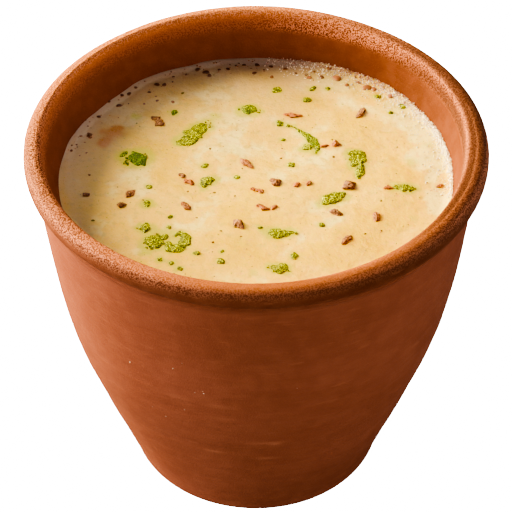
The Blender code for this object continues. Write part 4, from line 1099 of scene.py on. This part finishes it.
def makeHerbLook(blotch, grit):
    material, tree, shader, place = newMaterial("chopped herb", herbLook["roughness"], 0.25)
    green, grain = readValue(tree, "green"), readValue(tree, "grain")
    facets = useGroup(tree, blotch, {"Vector": place, "Size": 0.0009, "Low": 0.36, "High": 0.64})["Mask"]
    veins = useGroup(tree, grit, {"Vector": place, "Size": 0.00022, "Contrast": 1.6})
    colour = mixColour(tree, ramp(tree, green, 0.45, 1.0), herbLook["leaf"], herbLook["deep"])
    tops = mathNode(tree, "ADD", mathNode(tree, "MULTIPLY", grain, 0.7),
                    mathNode(tree, "MULTIPLY", mathNode(tree, "SUBTRACT", veins["Speckle"], 0.5), 0.9))
    less = mathNode(tree, "SUBTRACT", 1.0, mathNode(tree, "MULTIPLY", ramp(tree, green, 0.5, 1.0), 0.75))
    # pale yellow patches and grain tops are painted highlight; dark olive in the hollows between grains is
    # painted shade
    colour = mixColour(tree, mathNode(tree, "MULTIPLY", facets, mathNode(tree, "MULTIPLY", less, 0.12)),
                       colour, herbLook["light"])
    colour = mixColour(tree, mathNode(tree, "MULTIPLY", ramp(tree, tops, 0.20, 0.42), less), colour,
                       herbLook["light"])
    colour = mixColour(tree, ramp(tree, tops, 0.08, -0.24, 0.0, 0.92), colour, herbLook["olive"])
    tree.links.new(colour, shader["Base Color"])
    tree.links.new(ramp(tree, veins["Speckle"], 0.0, 1.0, 0.40, 0.70), shader["Roughness"])
    tree.links.new(bump(tree, veins["Height"], 0.00006), shader["Normal"])
    return material


# light is the colour of painted highlights on grain tops and dark of painted shade in the hollows
spiceLook = {"brown": (0.230, 0.090, 0.035), "red": (0.540, 0.150, 0.040), "dark": (0.085, 0.025, 0.010),
             "light": (0.700, 0.360, 0.180), "roughness": 0.6}


def makeSpiceLook(name, blotch, grit, grainSize, depth):
    material, tree, shader, place = newMaterial(name, spiceLook["roughness"], 0.2)
    red, grain = readValue(tree, "red"), readValue(tree, "grain")
    patch = useGroup(tree, blotch, {"Vector": place, "Size": 0.0009, "Low": 0.36, "High": 0.64})["Mask"]
    crust = useGroup(tree, grit, {"Vector": place, "Size": grainSize, "Contrast": 1.4})
    tops = mathNode(tree, "ADD", grain, mathNode(tree, "MULTIPLY",
            mathNode(tree, "SUBTRACT", crust["Speckle"], 0.5), 0.45))
    colour = mixColour(tree, ramp(tree, red, 0.1, 0.95), spiceLook["brown"], spiceLook["red"])
    colour = mixColour(tree, mathNode(tree, "MULTIPLY", patch, 0.25), colour, spiceLook["light"])
    # paler on the grain tops and darker in the hollows: painted highlight and painted shade
    colour = mixColour(tree, ramp(tree, tops, 0.10, 0.42, 0.0, 0.80), colour, spiceLook["light"])
    colour = mixColour(tree, ramp(tree, tops, 0.02, -0.34, 0.0, 0.90), colour, spiceLook["dark"])
    tree.links.new(colour, shader["Base Color"])
    tree.links.new(ramp(tree, crust["Speckle"], 0.0, 1.0, 0.42, 0.72), shader["Roughness"])
    tree.links.new(bump(tree, crust["Height"], depth), shader["Normal"])
    return material


def makeSpeckLook(name, grit, first, second, third):
    # three colours chosen by each speck's own shade
    material, tree, shader, place = newMaterial(name, 0.7, 0.1)
    shade = readValue(tree, "shade")
    crust = useGroup(tree, grit, {"Vector": place, "Size": 0.00018, "Contrast": 1.2})
    colour = mixColour(tree, ramp(tree, shade, 0.30, 0.40), first, second)
    colour = mixColour(tree, ramp(tree, shade, 0.66, 0.76), colour, third)
    colour = mixColour(tree, ramp(tree, crust["Speckle"], 0.5, 0.1, 0.0, 0.5), colour, first)
    tree.links.new(colour, shader["Base Color"])
    tree.links.new(ramp(tree, crust["Speckle"], 0.0, 1.0, 0.5, 0.75), shader["Roughness"])
    tree.links.new(bump(tree, crust["Height"], 0.00004), shader["Normal"])
    return material


def makeFrothLook(grit):
    material, tree, shader, place = newMaterial("froth", 0.2, 0.5)
    dark = readValue(tree, "dark")
    film = useGroup(tree, grit, {"Vector": place, "Size": 0.00025, "Contrast": 1.0})
    # froth darkened by dark, a painted shade
    colour = mixColour(tree, ramp(tree, dark, 0.25, 0.75), (1.0, 0.85, 0.62), (0.46, 0.20, 0.13))
    colour = mixColour(tree, ramp(tree, film["Speckle"], 0.6, 1.0, 0.0, 0.4), colour, (0.95, 0.80, 0.62))
    tree.links.new(colour, shader["Base Color"])
    tree.links.new(ramp(tree, film["Speckle"], 0.0, 1.0, 0.12, 0.32), shader["Roughness"])
    tree.links.new(bump(tree, film["Height"], 0.00002), shader["Normal"])
    return material


def makeBubbleLook(grit):
    # a bubble's skin: cream at its foot, darker towards its crown where the dark wall is mirrored
    material, tree, shader, place = newMaterial("bubble skin", 0.35, 0.25)
    dark, crown = readValue(tree, "dark"), readValue(tree, "crown")
    film = useGroup(tree, grit, {"Vector": place, "Size": 0.00045, "Contrast": 1.0})
    tone = mixColour(tree, ramp(tree, dark, 0.45, 0.95), (0.42, 0.16, 0.07), (0.115, 0.034, 0.010))
    share = ramp(tree, crown, 0.15, 0.80)
    colour = mixColour(tree, share, (0.42, 0.23, 0.11), tone)
    colour = mixColour(tree, ramp(tree, film["Speckle"], 0.65, 1.0, 0.0, 0.12), colour, cream["spice"])
    tree.links.new(colour, shader["Base Color"])
    tree.links.new(ramp(tree, film["Speckle"], 0.0, 1.0, 0.28, 0.45), shader["Roughness"])
    tree.links.new(bump(tree, film["Height"], 0.00002), shader["Normal"])
    return material


def makeLimeLook(grit):
    material, tree, shader, place = newMaterial("lime", 0.8, 0.3)
    crumb = useGroup(tree, grit, {"Vector": place, "Size": 0.00012, "Contrast": 1.0})
    tree.links.new(mixColour(tree, crumb["Speckle"], (0.66, 0.42, 0.26), (0.92, 0.72, 0.52)),
                   shader["Base Color"])
    tree.links.new(ramp(tree, crumb["Speckle"], 0.0, 1.0, 0.7, 0.9), shader["Roughness"])
    tree.links.new(bump(tree, crumb["Height"], 0.00003), shader["Normal"])
    return material


# Stage, lights and camera

stage = {
    "floorWhite": 0.85,
    "floorGlow": 9.0,
    "bounce": 0.10,  # how light the floor is for the light that falls back on the cup
    "worldLight": 0.02,
    "worldWhite": 9.0,
}
# Soft lights: direction (degrees round, 0 = +X and 90 = +Y; degrees up), distance and size in metres, power
lights = {
    "key": {"round": 148.0, "up": 22.0, "away": 0.9, "size": 0.56, "power": 40.0,
            "colour": (1.0, 0.91, 0.56)},
    "left": {"round": 180.0, "up": 10.0, "away": 0.9, "size": 0.5, "power": 13.0, "colour": (1.0, 1.0, 1.0)},
    "right": {"round": 15.0, "up": 10.0, "away": 0.9, "size": 0.6, "power": 4.8, "colour": (1.0, 1.0, 1.0)},
    "front": {"round": -82.0, "up": 8.0, "away": 0.9, "size": 0.6, "power": 6.7, "colour": (1.0, 1.0, 1.0)},
    "top": {"round": 90.0, "up": 55.0, "away": 0.9, "size": 0.6, "power": 2.0, "colour": (1.0, 1.0, 1.0)},
}
cameraLook = {"up": 41.065, "away": 0.5, "aim": 0.048633, "focalPixels": 2484.18, "imagePixels": 512,
              "sensor": 36.0}


def makeStage():
    # flat floor that rises into a wall far behind: height is r^2 past a radius
    side = np.linspace(-1.0, 1.0, 41)
    x, y = np.meshgrid(side * 6.0, side * 6.0, indexing="ij")
    far = np.clip(np.hypot(x, y) - 3.0, 0.0, None)
    points = np.stack([x, y, 0.12 * far**2 - 0.0002], -1).reshape(-1, 3)
    i, j = np.meshgrid(np.arange(40), np.arange(40), indexing="ij")
    corner = (i * 41 + j).ravel()
    floor = putMesh("floor", points, np.stack([corner, corner + 41, corner + 42, corner + 1], -1))
    material, tree, shader, place = newMaterial("pale floor", 0.7, 0.2)
    white = stage["floorWhite"]
    shader["Base Color"].default_value = (white, white, white, 1.0)
    shader["Emission Color"].default_value = (1.0, 1.0, 1.0, 1.0)
    shader["Emission Strength"].default_value = stage["floorGlow"]
    dim = addNode(tree, "ShaderNodeBsdfDiffuse", {"Color": (stage["bounce"],) * 3 + (1.0,)})
    seen = addNode(tree, "ShaderNodeLightPath").outputs["Is Camera Ray"]
    both = addNode(tree, "ShaderNodeMixShader", {0: seen, 1: dim.outputs[0],
            2: tree.nodes["Principled BSDF"].outputs[0]})
    tree.links.new(both.outputs[0], tree.nodes["Material Output"].inputs["Surface"])
    floor.data.materials.append(material)

    world = bpy.data.worlds.new("studio")
    world.use_nodes = True
    bpy.context.scene.world = world
    tree = world.node_tree
    soft = tree.nodes["Background"]
    soft.inputs["Color"].default_value = (1.0, 0.98, 0.95, 1.0)
    soft.inputs["Strength"].default_value = stage["worldLight"]
    bright = addNode(tree, "ShaderNodeBackground",
                     {"Color": (1.0, 1.0, 1.0, 1.0), "Strength": stage["worldWhite"]})
    seen = addNode(tree, "ShaderNodeLightPath").outputs["Is Camera Ray"]
    both = addNode(tree, "ShaderNodeMixShader", {0: seen, 1: soft.outputs[0], 2: bright.outputs[0]})
    tree.links.new(both.outputs[0], tree.nodes["World Output"].inputs["Surface"])


def direction(degreesRound, degreesUp):
    a, e = math.radians(degreesRound), math.radians(degreesUp)
    return Vector((math.cos(a) * math.cos(e), math.sin(a) * math.cos(e), math.sin(e)))


def makeLights():
    aim = Vector((0.0, 0.0, 0.05))
    for name, look in lights.items():
        lamp = bpy.data.lights.new(name, "AREA")
        lamp.shape = "DISK"
        lamp.size = look["size"]
        lamp.energy = look["power"]
        lamp.color = look["colour"]
        item = bpy.data.objects.new(name, lamp)
        bpy.context.scene.collection.objects.link(item)
        item.location = aim + direction(look["round"], look["up"]) * look["away"]
        item.rotation_euler = (aim - item.location).to_track_quat("-Z", "Y").to_euler()


def makeCamera():
    lens = bpy.data.cameras.new("camera")
    lens.sensor_width = cameraLook["sensor"]
    lens.lens = cameraLook["focalPixels"] / cameraLook["imagePixels"] * cameraLook["sensor"]
    lens.clip_start, lens.clip_end = 0.01, 50.0
    item = bpy.data.objects.new("camera", lens)
    bpy.context.scene.collection.objects.link(item)
    aim = Vector((0.0, 0.0, cameraLook["aim"]))
    item.location = aim + direction(-90.0, cameraLook["up"]) * cameraLook["away"]
    item.rotation_euler = (aim - item.location).to_track_quat("-Z", "Y").to_euler()
    bpy.context.scene.camera = item
    view = bpy.context.scene.view_settings
    view.view_transform = "AgX"
    view.look = "AgX - High Contrast"


def main():
    makeCamera()
    makeStage()
    makeLights()
    print("stage, lights and camera set")
    blotch, grit = makeBlotchGroup(), makeGritGroup()
    clayLook, creamLook = makeClay(blotch, grit), makeCream(blotch, grit)
    print("clay and drink materials made")
    cupPiece, drinkPiece = makeCup(), makeDrink()
    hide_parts("cup")
    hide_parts("drink")
    print("cup and drink made")
    dressed = [
        (cupPiece, clayLook, "clay"),
        (drinkPiece, creamLook, "drink"),
        (makeHerb(), makeHerbLook(blotch, grit), "drink"),
        (makeChilli(), makeSpiceLook("chilli", blotch, grit, 0.00030, 0.00008), "drink"),
        (makeCumin(), makeSpiceLook("roasted cumin", blotch, grit, 0.00024, 0.00009), "drink"),
        (makePepper(), makeSpeckLook("pepper", grit, (0.17, 0.060, 0.020), (0.30, 0.130, 0.040),
                                     (0.26, 0.180, 0.035)), "drink"),
        (makeDust(), makeSpeckLook("spice dust", grit, (0.55, 0.40, 0.06), (0.60, 0.29, 0.11),
                                   (0.34, 0.20, 0.07)), "drink"),
        (makeFroth(), makeFrothLook(grit), "drink"),
        (makeWallBubbles(), makeBubbleLook(grit), "drink"),
        (makeLimeFlecks(), makeLimeLook(grit), "clay"),
    ]
    for piece, material, slot in dressed:
        piece.data.materials.append(material)
        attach(piece, "root")
    print("toppings, froth and flecks made:", sum(len(p.data.polygons) for p, m, s in dressed),
          "faces in all")


main()
bpy.context.view_layer.update()
